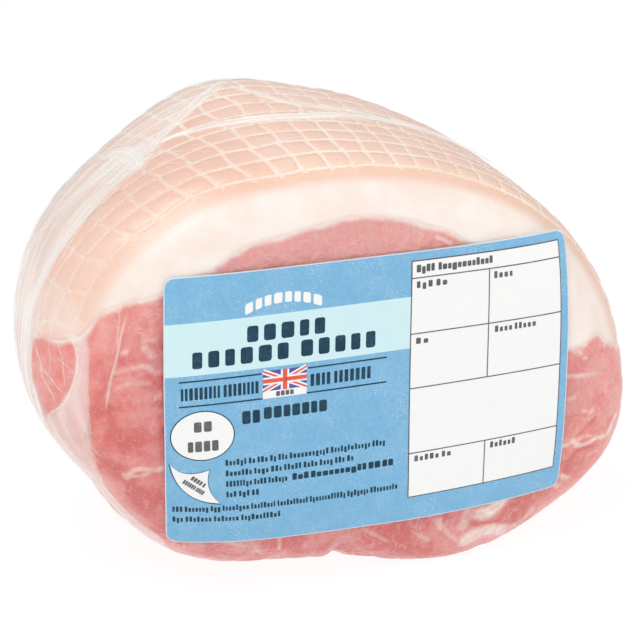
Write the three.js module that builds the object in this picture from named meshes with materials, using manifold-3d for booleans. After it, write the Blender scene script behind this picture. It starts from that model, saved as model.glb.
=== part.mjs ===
// A small gammon joint in its shrink pack, lying on its side with the cut face to the front.
//
// The joint is a short rolled barrel of lean meat under a thick cap of fat and rind. Elastic net
// under the film has pressed the rind into rows of small squares. The clear film lies skin-tight
// on the meat, so its outside is the outside of the meat, except where spare film stands up in
// pleats. One printed label is stuck flat on the cut face.
//
// Millimetres. +X runs across the cut face to the right, +Y into the joint, away from the label,
// and +Z up. The origin is under the middle of the joint, on the surface that it rests on.

import * as THREE from "three";
import { mergeVertices } from "three/addons/utils/BufferGeometryUtils.js";
import Module from "manifold-3d";

const wasm = await Module();
wasm.setup();

// ---------------------------------------------------------------- driving dimensions

// The joint is a barrel about an axis along Y. A cross-section is a closed curve through radii
// at equal steps of angle, counter-clockwise from +X. One curve is for the cut face, one for the
// far end, and the sections between them blend from one to the other.
const AXIS_HEIGHT = 50.8;
const FRONT_RADII = [68, 61, 54.5, 50.5, 50.5, 55, 66, 75, 75.5, 65.5, 60.5, 51.5, 50, 59.5, 67, 74.5];
const BACK_RADII = [63.5, 58, 57.5, 58, 62, 70.5, 71, 74.5, 71.5, 67, 70, 63, 61.5, 61.5, 63.5, 65];
const FRONT_DEPTH = 34.4;
const BACK_DEPTH = 39.4;
const AXIS_OFFSET = [3.8, -2.1]; // from the middle of the joint's box to its axis, in X and Y

// How squarely the side turns into an end: radius^FALL + depth^CROWN = 1 on the barrel's profile.
// The cut face turns more squarely on the right than on the left.
const FRONT_FALL = { mean: 6.0, right: 0.8 };
const FRONT_CROWN = { mean: 4.3, right: 0.7 };
const BACK_FALL = 3.6;
const BACK_CROWN = 2.1;

// The seam between the lean below and the fat above, as height over X, at the cut face and at
// the far end. It is lobed where the muscles meet the fat.
const FRONT_SEAM = [
  [-90, 64], [-74, 65.8], [-66, 67.6], [-61, 73], [-50, 76.6], [-39.5, 80.3], [-32, 84.3], [-17, 88], [-5, 89.1],
  [8, 87], [22, 80], [33, 68], [43, 53], [52, 52], [56, 54], [60, 50.8], [66, 47.4], [90, 45],
];
const BACK_SEAM = [[-90, 60], [-68, 66], [-54, 82], [-36, 94], [-12, 100], [12, 95], [34, 81], [50, 63], [64, 51], [90, 46]];
const GAP = 0.3;
const POINT_GRID = 0.01; // spacing of the grid that points settle on after a cut

// The net's mesh on the rind: squares by angle round the joint and by depth along it.
const NET = { firstAngle: -2.5, lastAngle: 177.5, squares: 28, firstDepth: -26, depthStep: 4.3, hoops: 12 };
const NET_BULGE = 0.7;

// Grooves where muscles meet, as straight runs on the surface: [x, y, z] to [x, y, z].
const GROOVES = [
  { from: [-56, -30, 76], to: [-60, -30, 58], width: 4, depth: 1.0 },
  { from: [-60, -30, 58], to: [-62, -29, 46], width: 4, depth: 0.8 },
  { from: [-6.5, -31, 8], to: [-4, -8, 0], width: 4.5, depth: 2.2 },
  { from: [24, -32, 12], to: [30, -26, 5], width: 6, depth: 2.4 },
  { from: [57, -29, 42], to: [63, -20, 24], width: 5, depth: 1.4 },
  { from: [46, -33, 57], to: [60, -27, 54], width: 3, depth: 0.6 },
];

// The label, as seen straight on: where its top left corner is, its size, the radius of its
// corners, and how far each side bows out between its corners because the face is domed.
const LABEL = { left: -48.7, top: 80.1, width: 95.5, height: 63.4, cornerRadius: 2.2 };
const LABEL_BOW = { left: 1.2, right: 0.5, top: 0.2, bottom: 1.7 };
const LABEL_THICKNESS = 0.35;
const LABEL_LIFT = 0.45;
const LABEL_STIFFNESS = 0.05; // share of the radius by which the label bridges the face's rim

// Pleats of spare film, each a run of [angle in degrees, depth in mm] on the joint's surface.
// They all start from the bunch at the upper left, or from another pleat.
const PLEATS = {
  alongTheTop: { width: 5.6, height: 1.3,
    run: [[134, -8], [122, -9.5], [109, -8.4], [92, -6.7], [73, -7.3], [59, -8], [47, -10], [38, -11]] },
  upToTheCrest: { width: 5.2, height: 1.5, run: [[134, -8], [123, -3], [117, 2], [112, 8], [108, 16], [105, 24]] },
  downFromTheCrest: { width: 4.2, height: 1.1, run: [[112, 8], [98, -1], [82, -5.5], [73, -7.3]] },
  downTheLeft: { width: 5.4, height: 1.3,
    run: [[134, -8], [143, -11], [149, -12.5], [156, -12.5], [168, -11], [174, -10], [181, -12]] },
  roundTheShoulder: { width: 4.2, height: 1.1, run: [[134, -8], [140, -4], [149, -1], [158, 1], [176, 5]] },
  overTheLeftEdge: { width: 4.6, height: 1.2, run: [[168, -11], [170, -17], [172, -22.5], [176, -22.5], [181, -12]] },
};
const BUNCH = { angle: 134, depth: -8, reach: 9, width: 5.0, height: 1.9, creases: [20, 75, 140, 200, 250, 320] };
const FILM_LIFT = 1.15; // clears the pressed squares of the rind

// ---------------------------------------------------------------- small helpers

const radians = THREE.MathUtils.degToRad;
const lerp = THREE.MathUtils.lerp;
const clamp = THREE.MathUtils.clamp;
const smooth = (t) => THREE.MathUtils.smoothstep(t, 0, 1);

/** Value at t (0 to 1, then round again) of a closed curve through equally spaced values. */
function closedCurve(values, t) {
  const count = values.length;
  const place = (((t * count) % count) + count) % count;
  const first = Math.floor(place);
  const f = place - first;
  const [a, b, c, d] = [-1, 0, 1, 2].map((k) => values[(first + k + count) % count]);
  return 0.5 * (2 * b + (c - a) * f + (2 * a - 5 * b + 4 * c - d) * f ** 2 + (3 * b - a - 3 * c + d) * f ** 3);
}

/** Height at x of a smooth curve through [x, height] points whose x rises. */
function heightAt(points, x) {
  const last = points.length - 2;
  let i = 0;
  while (i < last && x > points[i + 1][0]) i += 1;
  const slope = (k) => {
    const [low, high] = [points[Math.max(k - 1, 0)], points[Math.min(k + 1, last + 1)]];
    return (high[1] - low[1]) / (high[0] - low[0]);
  };
  const span = points[i + 1][0] - points[i][0];
  const t = clamp((x - points[i][0]) / span, 0, 1);
  const [a, b] = [points[i][1], points[i + 1][1]];
  return a + (b - a) * t * t * (3 - 2 * t) + span * t * (1 - t) * (slope(i) * (1 - t) - slope(i + 1) * t);
}

/** Closed geometry from rings of points, each ring with a triangle fan to its middle at the ends. */
function loft(rings) {
  const count = rings[0].length;
  const middle = (ring) => ring.reduce((sum, p) => sum.add(p), new THREE.Vector3()).divideScalar(count);
  const positions = [];
  const triangle = (...corners) => corners.forEach((p) => positions.push(p.x, p.y, p.z));
  for (let r = 0; r + 1 < rings.length; r += 1) {
    for (let i = 0; i < count; i += 1) {
      const j = (i + 1) % count;
      const [a, b, c, d] = [rings[r][i], rings[r][j], rings[r + 1][j], rings[r + 1][i]];
      triangle(a, b, c);
      triangle(a, c, d);
    }
  }
  const [start, end] = [rings[0], rings[rings.length - 1]];
  const [startMiddle, endMiddle] = [middle(start), middle(end)];
  for (let i = 0; i < count; i += 1) {
    const j = (i + 1) % count;
    triangle(startMiddle, start[j], start[i]);
    triangle(endMiddle, end[i], end[j]);
  }
  const geometry = new THREE.BufferGeometry();
  geometry.setAttribute("position", new THREE.Float32BufferAttribute(positions, 3));
  return mergeVertices(geometry, 1e-4);
}

/** A closed geometry as a solid that can be joined and cut. */
function solidOf(geometry) {
  const { array } = geometry.getAttribute("position");
  return new wasm.Manifold(new wasm.Mesh({
    numProp: 3,
    vertProperties: new Float32Array(array),
    triVerts: new Uint32Array(geometry.getIndex().array),
  }));
}

/** A solid as a geometry for a mesh, its points on a fine grid so that no cut leaves a sliver. */
function geometryOf(solid) {
  const { vertProperties, triVerts, numProp } = solid.getMesh();
  const [positions, numbers] = [[], new Map()];
  const place = (vertex) => {
    const point = [0, 1, 2].map((k) => Math.round(vertProperties[vertex * numProp + k] / POINT_GRID) * POINT_GRID);
    const key = point.map((value) => value.toFixed(3)).join();
    if (!numbers.has(key)) {
      numbers.set(key, positions.length / 3);
      positions.push(...point);
    }
    return numbers.get(key);
  };
  const faces = new Map();
  for (let i = 0; i < triVerts.length; i += 3) {
    const corners = [0, 1, 2].map((k) => place(triVerts[i + k]));
    if (new Set(corners).size < 3) continue;
    const key = [...corners].sort((a, b) => a - b).join();
    if (faces.has(key)) faces.delete(key);
    else faces.set(key, corners);
  }
  const geometry = new THREE.BufferGeometry();
  geometry.setAttribute("position", new THREE.Float32BufferAttribute(positions, 3));
  geometry.setIndex([...faces.values()].flat());
  geometry.computeVertexNormals();
  return geometry;
}

// ---------------------------------------------------------------- the form of the joint

const squareness = (range, theta) => range.mean + range.right * Math.cos(theta);

/** Radius of the barrel's section at an angle and a depth from the axis's middle. */
function sectionRadius(theta, y) {
  const turn = theta / (2 * Math.PI);
  const share = smooth((y + FRONT_DEPTH) / (FRONT_DEPTH + BACK_DEPTH));
  return lerp(closedCurve(FRONT_RADII, turn), closedCurve(BACK_RADII, turn), share);
}

/** Depth on an end at a share of the section's radius. */
function endDepth(theta, share, atFront) {
  if (atFront) {
    const [fall, crown] = [squareness(FRONT_FALL, theta), squareness(FRONT_CROWN, theta)];
    return -FRONT_DEPTH * (1 - share ** fall) ** (1 / crown);
  }
  return BACK_DEPTH * (1 - share ** BACK_FALL) ** (1 / BACK_CROWN);
}

/** Share of the section's radius that the side keeps at a depth. */
function sideShare(theta, y) {
  if (y < 0) {
    const [fall, crown] = [squareness(FRONT_FALL, theta), squareness(FRONT_CROWN, theta)];
    return (1 - Math.abs(y / FRONT_DEPTH) ** crown) ** (1 / fall);
  }
  return (1 - (y / BACK_DEPTH) ** BACK_CROWN) ** (1 / BACK_FALL);
}

/** How far a pressed square of rind stands out, from 0 at a strand of the net to 1. */
function netPillow(theta, y) {
  const degrees = THREE.MathUtils.radToDeg(theta);
  const across = ((degrees - NET.firstAngle) / (NET.lastAngle - NET.firstAngle)) * NET.squares;
  const along = (y - NET.firstDepth) / NET.depthStep;
  if (across < 0 || across > NET.squares || along < 0 || along > NET.hoops) return 0;
  const crown = (t) => 1 - Math.abs(2 * (t - Math.floor(t)) - 1) ** 3;
  return crown(across) * crown(along);
}

/** Depth of the muscle grooves at a point. */
function grooveDepth(point) {
  let deepest = 0;
  for (const groove of GROOVES) {
    const line = new THREE.Line3(new THREE.Vector3(...groove.from), new THREE.Vector3(...groove.to));
    const nearest = line.closestPointToPoint(point, true, new THREE.Vector3());
    const share = 1 - Math.min(nearest.distanceTo(point) / groove.width, 1) ** 2;
    deepest = Math.max(deepest, groove.depth * share ** 2);
  }
  return deepest;
}

/** Point of the joint's surface at an angle, a depth and a share of the section's radius. */
function surfacePoint(theta, y, share, stand = 0) {
  const radius = share * sectionRadius(theta, y) + stand;
  const z = AXIS_HEIGHT + radius * Math.sin(theta);
  return new THREE.Vector3(radius * Math.cos(theta), y, Math.max(z, 0));
}

/** Point on the side at an angle and depth, with its outward direction. */
function sidePoint(theta, y) {
  const step = 0.01;
  const at = (t, d) => surfacePoint(t, d, sideShare(t, d));
  const point = at(theta, y);
  const round = at(theta + step, y).sub(at(theta - step, y));
  const along = at(theta, y + step * 20).sub(at(theta, y - step * 20));
  return { point, outward: round.cross(along).negate().normalize() };
}

// Rows of the surface from the middle of the cut face to the middle of the far end: the ends by
// share of the radius, the side by depth.
const FACE_SHARES = [0.12, 0.28, 0.44, 0.58, 0.7, 0.8, 0.87];
const FAR_SHARES = [0.84, 0.74, 0.6, 0.44, 0.28, 0.12];

/** Solid of the whole joint. The rows and angles are where its surface has its points. */
function jointSolid(sideDepths, angles, shape) {
  const rings = [
    ...FACE_SHARES.map((share) => angles.map((a) => surfacePoint(a, endDepth(a, share, true), share))),
    ...sideDepths.map((y) => angles.map((a) => surfacePoint(a, y, sideShare(a, y), shape(a, y)))),
    ...FAR_SHARES.map((share) => angles.map((a) => surfacePoint(a, endDepth(a, share, false), share))),
  ];
  rings.forEach((ring) => ring.forEach((point) => {
    const axis = new THREE.Vector3(0, point.y * 0.5, AXIS_HEIGHT);
    const inward = axis.sub(point).normalize();
    point.addScaledVector(inward, grooveDepth(point));
  }));
  rings.forEach((ring) => ring.reverse());
  return solidOf(loft(rings));
}

/** Height of the seam between lean and fat, offset square to it. */
function seamHeight(x, y, offset) {
  const share = smooth((y + FRONT_DEPTH) / (FRONT_DEPTH + BACK_DEPTH));
  const height = (at) => lerp(heightAt(FRONT_SEAM, at), heightAt(BACK_SEAM, at), share);
  const slope = height(x + 0.5) - height(x - 0.5);
  return height(x) + offset * Math.hypot(1, slope);
}

/** Block from below the joint up to the seam, raised or lowered by an offset. */
function underSeam(offset) {
  const reach = { x: 88, y: 50, below: -10 };
  const [columns, rows] = [44, 7];
  const rings = [];
  for (let i = 0; i <= columns; i += 1) {
    const x = lerp(-reach.x, reach.x, i / columns);
    const ring = [];
    for (let j = 0; j <= rows; j += 1) {
      const y = lerp(-reach.y, reach.y, j / rows);
      ring.push(new THREE.Vector3(x, y, seamHeight(x, y, offset)));
    }
    for (let j = rows; j >= 0; j -= 1) ring.push(new THREE.Vector3(x, lerp(-reach.y, reach.y, j / rows), reach.below));
    rings.push(ring);
  }
  rings.forEach((ring) => ring.reverse());
  return solidOf(loft(rings));
}

/** Evenly spaced numbers from the first to the last, both kept. */
function steps(first, last, count) {
  return Array.from({ length: count + 1 }, (_, i) => lerp(first, last, i / count));
}

function leanMeat() {
  const sideDepths = steps(-27, 25, 9);
  const angles = steps(0, 2 * Math.PI, 64).slice(0, -1);
  return jointSolid(sideDepths, angles, () => 0).intersect(underSeam(-GAP / 2));
}

function fatAndRind() {
  const netDepth = NET.depthStep * NET.hoops;
  const sideDepths = steps(NET.firstDepth, NET.firstDepth + netDepth, NET.hoops * 2);
  const netted = steps(radians(NET.firstAngle), radians(NET.lastAngle), NET.squares * 3);
  const below = steps(radians(NET.lastAngle), radians(NET.firstAngle) + 2 * Math.PI, 24).slice(1, -1);
  const rind = jointSolid(sideDepths, [...netted, ...below], (a, y) => NET_BULGE * netPillow(a, y));
  return rind.subtract(underSeam(GAP / 2));
}

// ---------------------------------------------------------------- the label

/** Depth of the cut face at a place seen straight on, as a stiff label would lie on it. */
function labelDepth(x, z) {
  const theta = Math.atan2(z - AXIS_HEIGHT, x);
  const distance = Math.hypot(x, z - AXIS_HEIGHT);
  let y = -FRONT_DEPTH;
  for (let pass = 0; pass < 6; pass += 1) {
    const share = Math.min(distance / sectionRadius(theta, y), 1);
    const bridged = share * (1 - LABEL_STIFFNESS * smooth((share - 0.75) / 0.25));
    y = endDepth(theta, bridged, true);
  }
  return y;
}

/** Point of the label's underside at shares of its width and height from the top left. */
function labelPoint(u, v, lift) {
  const bow = (t) => 1 - (2 * t - 1) ** 2;
  const x = LABEL.left + LABEL.width * u + bow(v) * (LABEL_BOW.right * u - LABEL_BOW.left * (1 - u));
  const z = LABEL.top - LABEL.height * v + bow(u) * (LABEL_BOW.top * (1 - v) - LABEL_BOW.bottom * v);
  return new THREE.Vector3(x, labelDepth(x, z) - lift, z);
}

function labelSheet() {
  const [columns, rows] = [16, 10];
  const corner = LABEL.cornerRadius;
  const heights = [0, 0.12, 0.35, 1].map((t) => (t * corner) / LABEL.height);
  const shares = [...heights, ...steps(heights[3], 1 - heights[3], rows).slice(1, -1), ...heights.map((t) => 1 - t).reverse()];
  const rings = shares.map((v) => {
    const fromEdge = Math.min(v, 1 - v) * LABEL.height;
    const inset = fromEdge < corner ? corner - Math.sqrt(corner ** 2 - (corner - fromEdge) ** 2) : 0;
    const across = steps(inset / LABEL.width, 1 - inset / LABEL.width, columns);
    const under = across.map((u) => labelPoint(u, v, LABEL_LIFT));
    const over = across.map((u) => labelPoint(u, v, LABEL_LIFT + LABEL_THICKNESS));
    return [...under, ...over.reverse()];
  });
  return solidOf(loft(rings));
}

// ---------------------------------------------------------------- the film's pleats

/** One pleat: a low tent along a run of [angle, depth], tapering to both ends. */
function pleat(run, width, height) {
  const route = new THREE.CatmullRomCurve3(run.map(([angle, depth]) => new THREE.Vector3(angle, depth, 0)));
  const count = run.length * 2 + 2;
  const rings = [];
  for (let i = 0; i <= count; i += 1) {
    const t = i / count;
    const [here, ahead] = [route.getPoint(t), route.getPoint(Math.min(t + 0.01, 1))];
    const behind = route.getPoint(Math.max(t - 0.01, 0));
    const { point, outward } = sidePoint(radians(here.x), here.y);
    const forward = sidePoint(radians(ahead.x), ahead.y).point.sub(sidePoint(radians(behind.x), behind.y).point);
    const sideways = new THREE.Vector3().crossVectors(outward, forward).normalize();
    const taper = 0.35 + 0.65 * Math.sin(Math.PI * clamp(t, 0.02, 0.98)) ** 0.5;
    const at = (across, up) => point.clone()
      .addScaledVector(sideways, across * width * taper)
      .addScaledVector(outward, FILM_LIFT + up * height * taper);
    rings.push([at(-0.5, 0), at(0.5, 0), at(0.1, 1), at(-0.1, 1)]);
  }
  return solidOf(loft(rings));
}

function filmPleats() {
  const solids = Object.values(PLEATS).map(({ run, width, height }) => pleat(run, width, height));
  const start = [BUNCH.angle, BUNCH.depth];
  BUNCH.creases.forEach((turn, i) => {
    const reach = BUNCH.reach * (i % 2 ? 0.75 : 1);
    const end = [BUNCH.angle + Math.cos(radians(turn)) * reach, BUNCH.depth + Math.sin(radians(turn)) * reach];
    const half = start.map((value, k) => (value + end[k]) / 2 + (k ? -0.6 : 0.8));
    solids.push(pleat([start, half, end], BUNCH.width, BUNCH.height));
  });
  return solids.reduce((film, solid) => film.add(solid));
}

// ---------------------------------------------------------------- the pack

const materials = {
  lean: new THREE.MeshStandardMaterial({ color: 0xe08a85, roughness: 0.35, metalness: 0 }),
  fat: new THREE.MeshStandardMaterial({ color: 0xfbe6d8, roughness: 0.4, metalness: 0 }),
  label: new THREE.MeshStandardMaterial({ color: 0x8ec4e4, roughness: 0.55, metalness: 0 }),
  film: new THREE.MeshStandardMaterial({ color: 0xf4efe8, roughness: 0.25, metalness: 0 }),
};

const pack = new THREE.Group();
const pieces = [
  ["lean_meat", leanMeat(), materials.lean],
  ["fat_and_rind", fatAndRind(), materials.fat],
  ["label", labelSheet(), materials.label],
  ["film_pleats", filmPleats(), materials.film],
];
for (const [name, solid, material] of pieces) {
  const mesh = new THREE.Mesh(geometryOf(solid), material);
  mesh.name = name;
  pack.add(mesh);
}
pack.position.set(AXIS_OFFSET[0], AXIS_OFFSET[1], 0);

export default pack;
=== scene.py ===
"""Looks of a small gammon joint in its shrink pack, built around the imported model.

The joint lies on its side with the cut face to the front. Its form, net and label follow the same named
sizes as the model: millimetres from the joint's own axis, which runs along Y at the form's axis_height. A
mesh turns into metres in the model's frame as it is made, so that every finished object sits at the origin.
"""

import logging
import math
from collections.abc import Callable, Iterable, Sequence
from dataclasses import dataclass, field
from enum import Enum
from functools import partialmethod

import bmesh
import bpy
import numpy as np
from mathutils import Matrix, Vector, noise


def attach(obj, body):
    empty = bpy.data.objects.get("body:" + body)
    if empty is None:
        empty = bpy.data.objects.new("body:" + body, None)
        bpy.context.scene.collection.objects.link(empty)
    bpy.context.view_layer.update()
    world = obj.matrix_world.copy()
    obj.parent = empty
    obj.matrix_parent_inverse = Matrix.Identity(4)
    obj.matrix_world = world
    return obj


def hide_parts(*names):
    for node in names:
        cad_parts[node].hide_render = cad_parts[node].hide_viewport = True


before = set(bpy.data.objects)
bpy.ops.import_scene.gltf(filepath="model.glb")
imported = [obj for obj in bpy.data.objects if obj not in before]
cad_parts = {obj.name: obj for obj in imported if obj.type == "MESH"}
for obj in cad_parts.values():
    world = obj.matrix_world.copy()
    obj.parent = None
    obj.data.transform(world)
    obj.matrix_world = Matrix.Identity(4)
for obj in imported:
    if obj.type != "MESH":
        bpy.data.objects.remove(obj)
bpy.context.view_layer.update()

LOG = logging.getLogger("gammon_joint_pack")
MM = 0.001
BODY = "root"
Array = np.ndarray
Piece = bpy.types.Object
Socket = bpy.types.NodeSocket
Pair = tuple[float, float]
Triple = tuple[float, float, float]
Run = tuple[tuple[float, ...], ...]


# ---- numbers and curves


def linear(red: float, green: float, blue: float) -> Triple:
    """Linear colour of a display colour given from 0 to 255."""
    shares = (value / 255 for value in (red, green, blue))
    return tuple(s / 12.92 if s <= 0.04045 else ((s + 0.055) / 1.055) ** 2.4 for s in shares)


def smooth(t: Array | float) -> Array | float:
    """Smooth step from 0 to 1 as t goes from 0 to 1."""
    t = np.clip(t, 0.0, 1.0)
    return t * t * (3 - 2 * t)


def ramp(value: Array | float, start: float, length: float) -> Array | float:
    """Smooth step from 0 where the value is start to 1 a length further, which may be below zero."""
    return smooth((value - start) / length)


def lerp(a: Array | float, b: Array | float, t: Array | float) -> Array | float:
    """Value between a and b at share t."""
    return a + (b - a) * t


def unit(vectors: Array) -> Array:
    """Vectors brought to a length of 1."""
    return vectors / np.maximum(np.linalg.norm(vectors, axis=-1, keepdims=True), 1e-9)


def between(a: Array, b: Array, c: Array, d: Array, f: Array) -> Array:
    """Smooth curve at share f of the way from b to c, where it comes from a and goes on to d."""
    return 0.5 * (2 * b + (c - a) * f + (2 * a - 5 * b + 4 * c - d) * f**2 + (3 * b - a - 3 * c + d) * f**3)


def closed_curve(values: Sequence[float], turn: Array) -> Array:
    """Closed smooth curve through values at equal steps of a whole turn.

    Args:
        values: The values.
        turn: Places along the turn, where 1 is the whole turn.

    Returns:
        The curve's value at each place.
    """
    knots = np.asarray(values, float)
    place = np.mod(turn, 1.0) * len(knots)
    first = np.floor(place).astype(int)
    return between(*(knots[(first + k) % len(knots)] for k in (-1, 0, 1, 2)), place - first)


def height_at(points: Run, x: Array) -> Array:
    """Height of a smooth curve through (x, height) points whose x rises.

    Args:
        points: The curve's points.
        x: Where the height is wanted.

    Returns:
        The height at each x.
    """
    xs, heights = np.array(points, float).T
    low = np.maximum(np.arange(len(xs)) - 1, 0)
    high = np.minimum(np.arange(len(xs)) + 1, len(xs) - 1)
    slopes = (heights[high] - heights[low]) / (xs[high] - xs[low])
    i = np.clip(np.searchsorted(xs, x, side="left") - 1, 0, len(xs) - 2)
    span = xs[i + 1] - xs[i]
    t = np.clip((x - xs[i]) / span, 0, 1)
    bend = span * t * (1 - t) * (slopes[i] * (1 - t) - slopes[i + 1] * t)
    return lerp(heights[i], heights[i + 1], smooth(t)) + bend


def smooth_run(points: Run, step: float) -> Array:
    """Points close together on a smooth line through a few points.

    Args:
        points: The few points, in any number of dimensions.
        step: About how far apart the close points are.

    Returns:
        The close points, one a row.
    """
    knots = np.array(points, float)
    ends = np.concatenate([[2 * knots[0] - knots[1]], knots, [2 * knots[-1] - knots[-2]]])
    line = [knots[:1]]
    for a, b, c, d in zip(ends, ends[1:], ends[2:], ends[3:]):
        count = max(int(np.linalg.norm(c - b) / step), 2)
        line.append(between(a, b, c, d, (np.arange(1, count + 1) / count)[:, None]))
    return np.concatenate(line)


def distance_to_run(points: Array, line: Array) -> Array:
    """Distance from each point to a line of close points.

    Args:
        points: Points, one a row.
        line: The line's points, one a row.

    Returns:
        One distance for each point.
    """
    nearest = np.full(len(points), np.inf)
    for a, b in zip(line, line[1:]):
        along = b - a
        t = np.clip((points - a) @ along / max(along @ along, 1e-12), 0, 1)
        gap = points - a - t[:, None] * along
        nearest = np.minimum(nearest, np.einsum("ij,ij->i", gap, gap))
    return np.sqrt(nearest)


def fractal(points: Array, size: float, octaves: int = 3) -> Array:
    """Smooth noise, from about -1 to 1, with features of a given size.

    Args:
        points: Points as (..., 3), in mm.
        size: The size of the largest features, in mm.
        octaves: How many finer layers it has, counting the first.

    Returns:
        One value for each point.
    """
    flat = (points.reshape(-1, 3) / size).tolist()
    values = [noise.fractal(point, 1.0, 2.0, octaves) for point in flat]
    return np.array(values).reshape(points.shape[:-1])


# ---- the joint's form


@dataclass(frozen=True)
class JointForm:
    """Outside of the rolled joint: a barrel whose sections are closed curves round its axis."""

    axis_height: float = 50.8
    front_radii: tuple[float, ...] = (68, 61, 54.5, 50.5, 50.5, 55, 66, 75, 75.5, 65.5, 60.5, 51.5, 50, 59.5,
                                      67, 74.5)
    back_radii: tuple[float, ...] = (63.5, 58, 57.5, 58, 62, 70.5, 71, 74.5, 71.5, 67, 70, 63, 61.5, 61.5,
                                     63.5, 65)
    front_depth: float = 34.4
    back_depth: float = 39.4
    offset: Pair = (3.8, -2.1)
    front_fall: Pair = (6.0, 0.8)
    front_crown: Pair = (4.3, 0.7)
    back_fall: float = 3.6
    back_crown: float = 2.1
    face_share: float = 0.85
    side_first: float = -24.0
    side_last: float = 26.0
    back_share: float = 0.8
    pole_share: float = 0.03
    bridged_from: float = 0.75

    def depth_share(self, y: Array) -> Array:
        """How far from the cut face's form to the far end's a depth is, eased at both."""
        return ramp(y, -self.front_depth, self.front_depth + self.back_depth)

    def section_radius(self, theta: Array, y: Array) -> Array:
        """Radius of the section at an angle and a depth."""
        turn = theta / (2 * math.pi)
        return lerp(closed_curve(self.front_radii, turn), closed_curve(self.back_radii, turn),
                    self.depth_share(y))

    def front_powers(self, theta: Array) -> tuple[Array, Array]:
        """How squarely the side turns into the cut face at an angle: its fall and its crown."""
        right = np.cos(theta)
        return (self.front_fall[0] + self.front_fall[1] * right,
                self.front_crown[0] + self.front_crown[1] * right)

    def end_depth(self, theta: Array, share: Array, front: bool = True) -> Array:
        """Depth of an end at an angle and a share of the section's radius.

        Args:
            theta: Angles in radians.
            share: Shares of the radius.
            front: Whether the end is the cut face.

        Returns:
            The depth at each, in mm.
        """
        if front:
            fall, crown = self.front_powers(theta)
            return -self.front_depth * np.clip(1 - share**fall, 0, 1) ** (1 / crown)
        return self.back_depth * np.clip(1 - share**self.back_fall, 0, 1) ** (1 / self.back_crown)

    def side_share(self, theta: Array, y: Array) -> Array:
        """Share of the section's radius that the side keeps at a depth.

        Args:
            theta: Angles in radians.
            y: Depths in mm.

        Returns:
            The share at each.
        """
        fall, crown = self.front_powers(theta)
        front = np.clip(1 - np.clip(-y / self.front_depth, 0, 1) ** crown, 0, 1) ** (1 / fall)
        back = 1 - np.clip(y / self.back_depth, 0, 1) ** self.back_crown
        back = np.clip(back, 0, 1) ** (1 / self.back_fall)
        return np.where(y < 0, front, back)

    def point(self, theta: Array, y: Array, share: Array) -> Array:
        """Point of the surface, in mm from the axis's middle, with Z up from the floor.

        Args:
            theta: Angles in radians.
            y: Depths in mm.
            share: Shares of the section's radius.

        Returns:
            The points, along a new last axis.
        """
        radius = share * self.section_radius(theta, y)
        z = self.axis_height + radius * np.sin(theta)
        return np.stack([radius * np.cos(theta), y + 0 * radius, np.maximum(z, 0)], -1)

    def side_point(self, theta: Array, y: Array) -> tuple[Array, Array]:
        """Points on the side at angles and depths, with their outward directions.

        Args:
            theta: Angles in radians.
            y: Depths in mm.

        Returns:
            The points and their directions.
        """
        turn, step = 0.01, 0.2

        def at(t: Array, d: Array) -> Array:
            """Point on the side."""
            return self.point(t, d, self.side_share(t, d))

        round_it = at(theta + turn, y) - at(theta - turn, y)
        along_it = at(theta, y + step) - at(theta, y - step)
        return at(theta, y), unit(np.cross(along_it, round_it))

    def face_depth(self, x: Array, z: Array, stiffness: float = 0.0) -> Array:
        """Depth of the cut face at (x, z), bridged near its rim where something stiff lies on it.

        Args:
            x: Places to the right, in mm.
            z: Heights, in mm.
            stiffness: How far the face is bridged, from 0 to 1.

        Returns:
            The depth at each, in mm.
        """
        theta = np.arctan2(z - self.axis_height, x)
        distance = np.hypot(x, z - self.axis_height)
        y = 0 * x - self.front_depth
        for _ in range(6):
            share = np.minimum(distance / self.section_radius(theta, y), 1)
            bridged = stiffness * ramp(share, self.bridged_from, 1 - self.bridged_from)
            y = self.end_depth(theta, share * (1 - bridged))
        return y

    def face_point(self, x: Array, z: Array) -> tuple[Array, Array]:
        """Points on the cut face at (x, z), with their outward directions.

        Args:
            x: Places to the right, in mm.
            z: Heights, in mm.

        Returns:
            The points and their directions.
        """
        step = 0.1
        lean_x = (self.face_depth(x + step, z) - self.face_depth(x - step, z)) / (2 * step)
        lean_z = (self.face_depth(x, z + step) - self.face_depth(x, z - step)) / (2 * step)
        return (np.stack([x, self.face_depth(x, z), z], -1), unit(np.stack([lean_x, -1 + 0 * x, lean_z], -1)))

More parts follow.
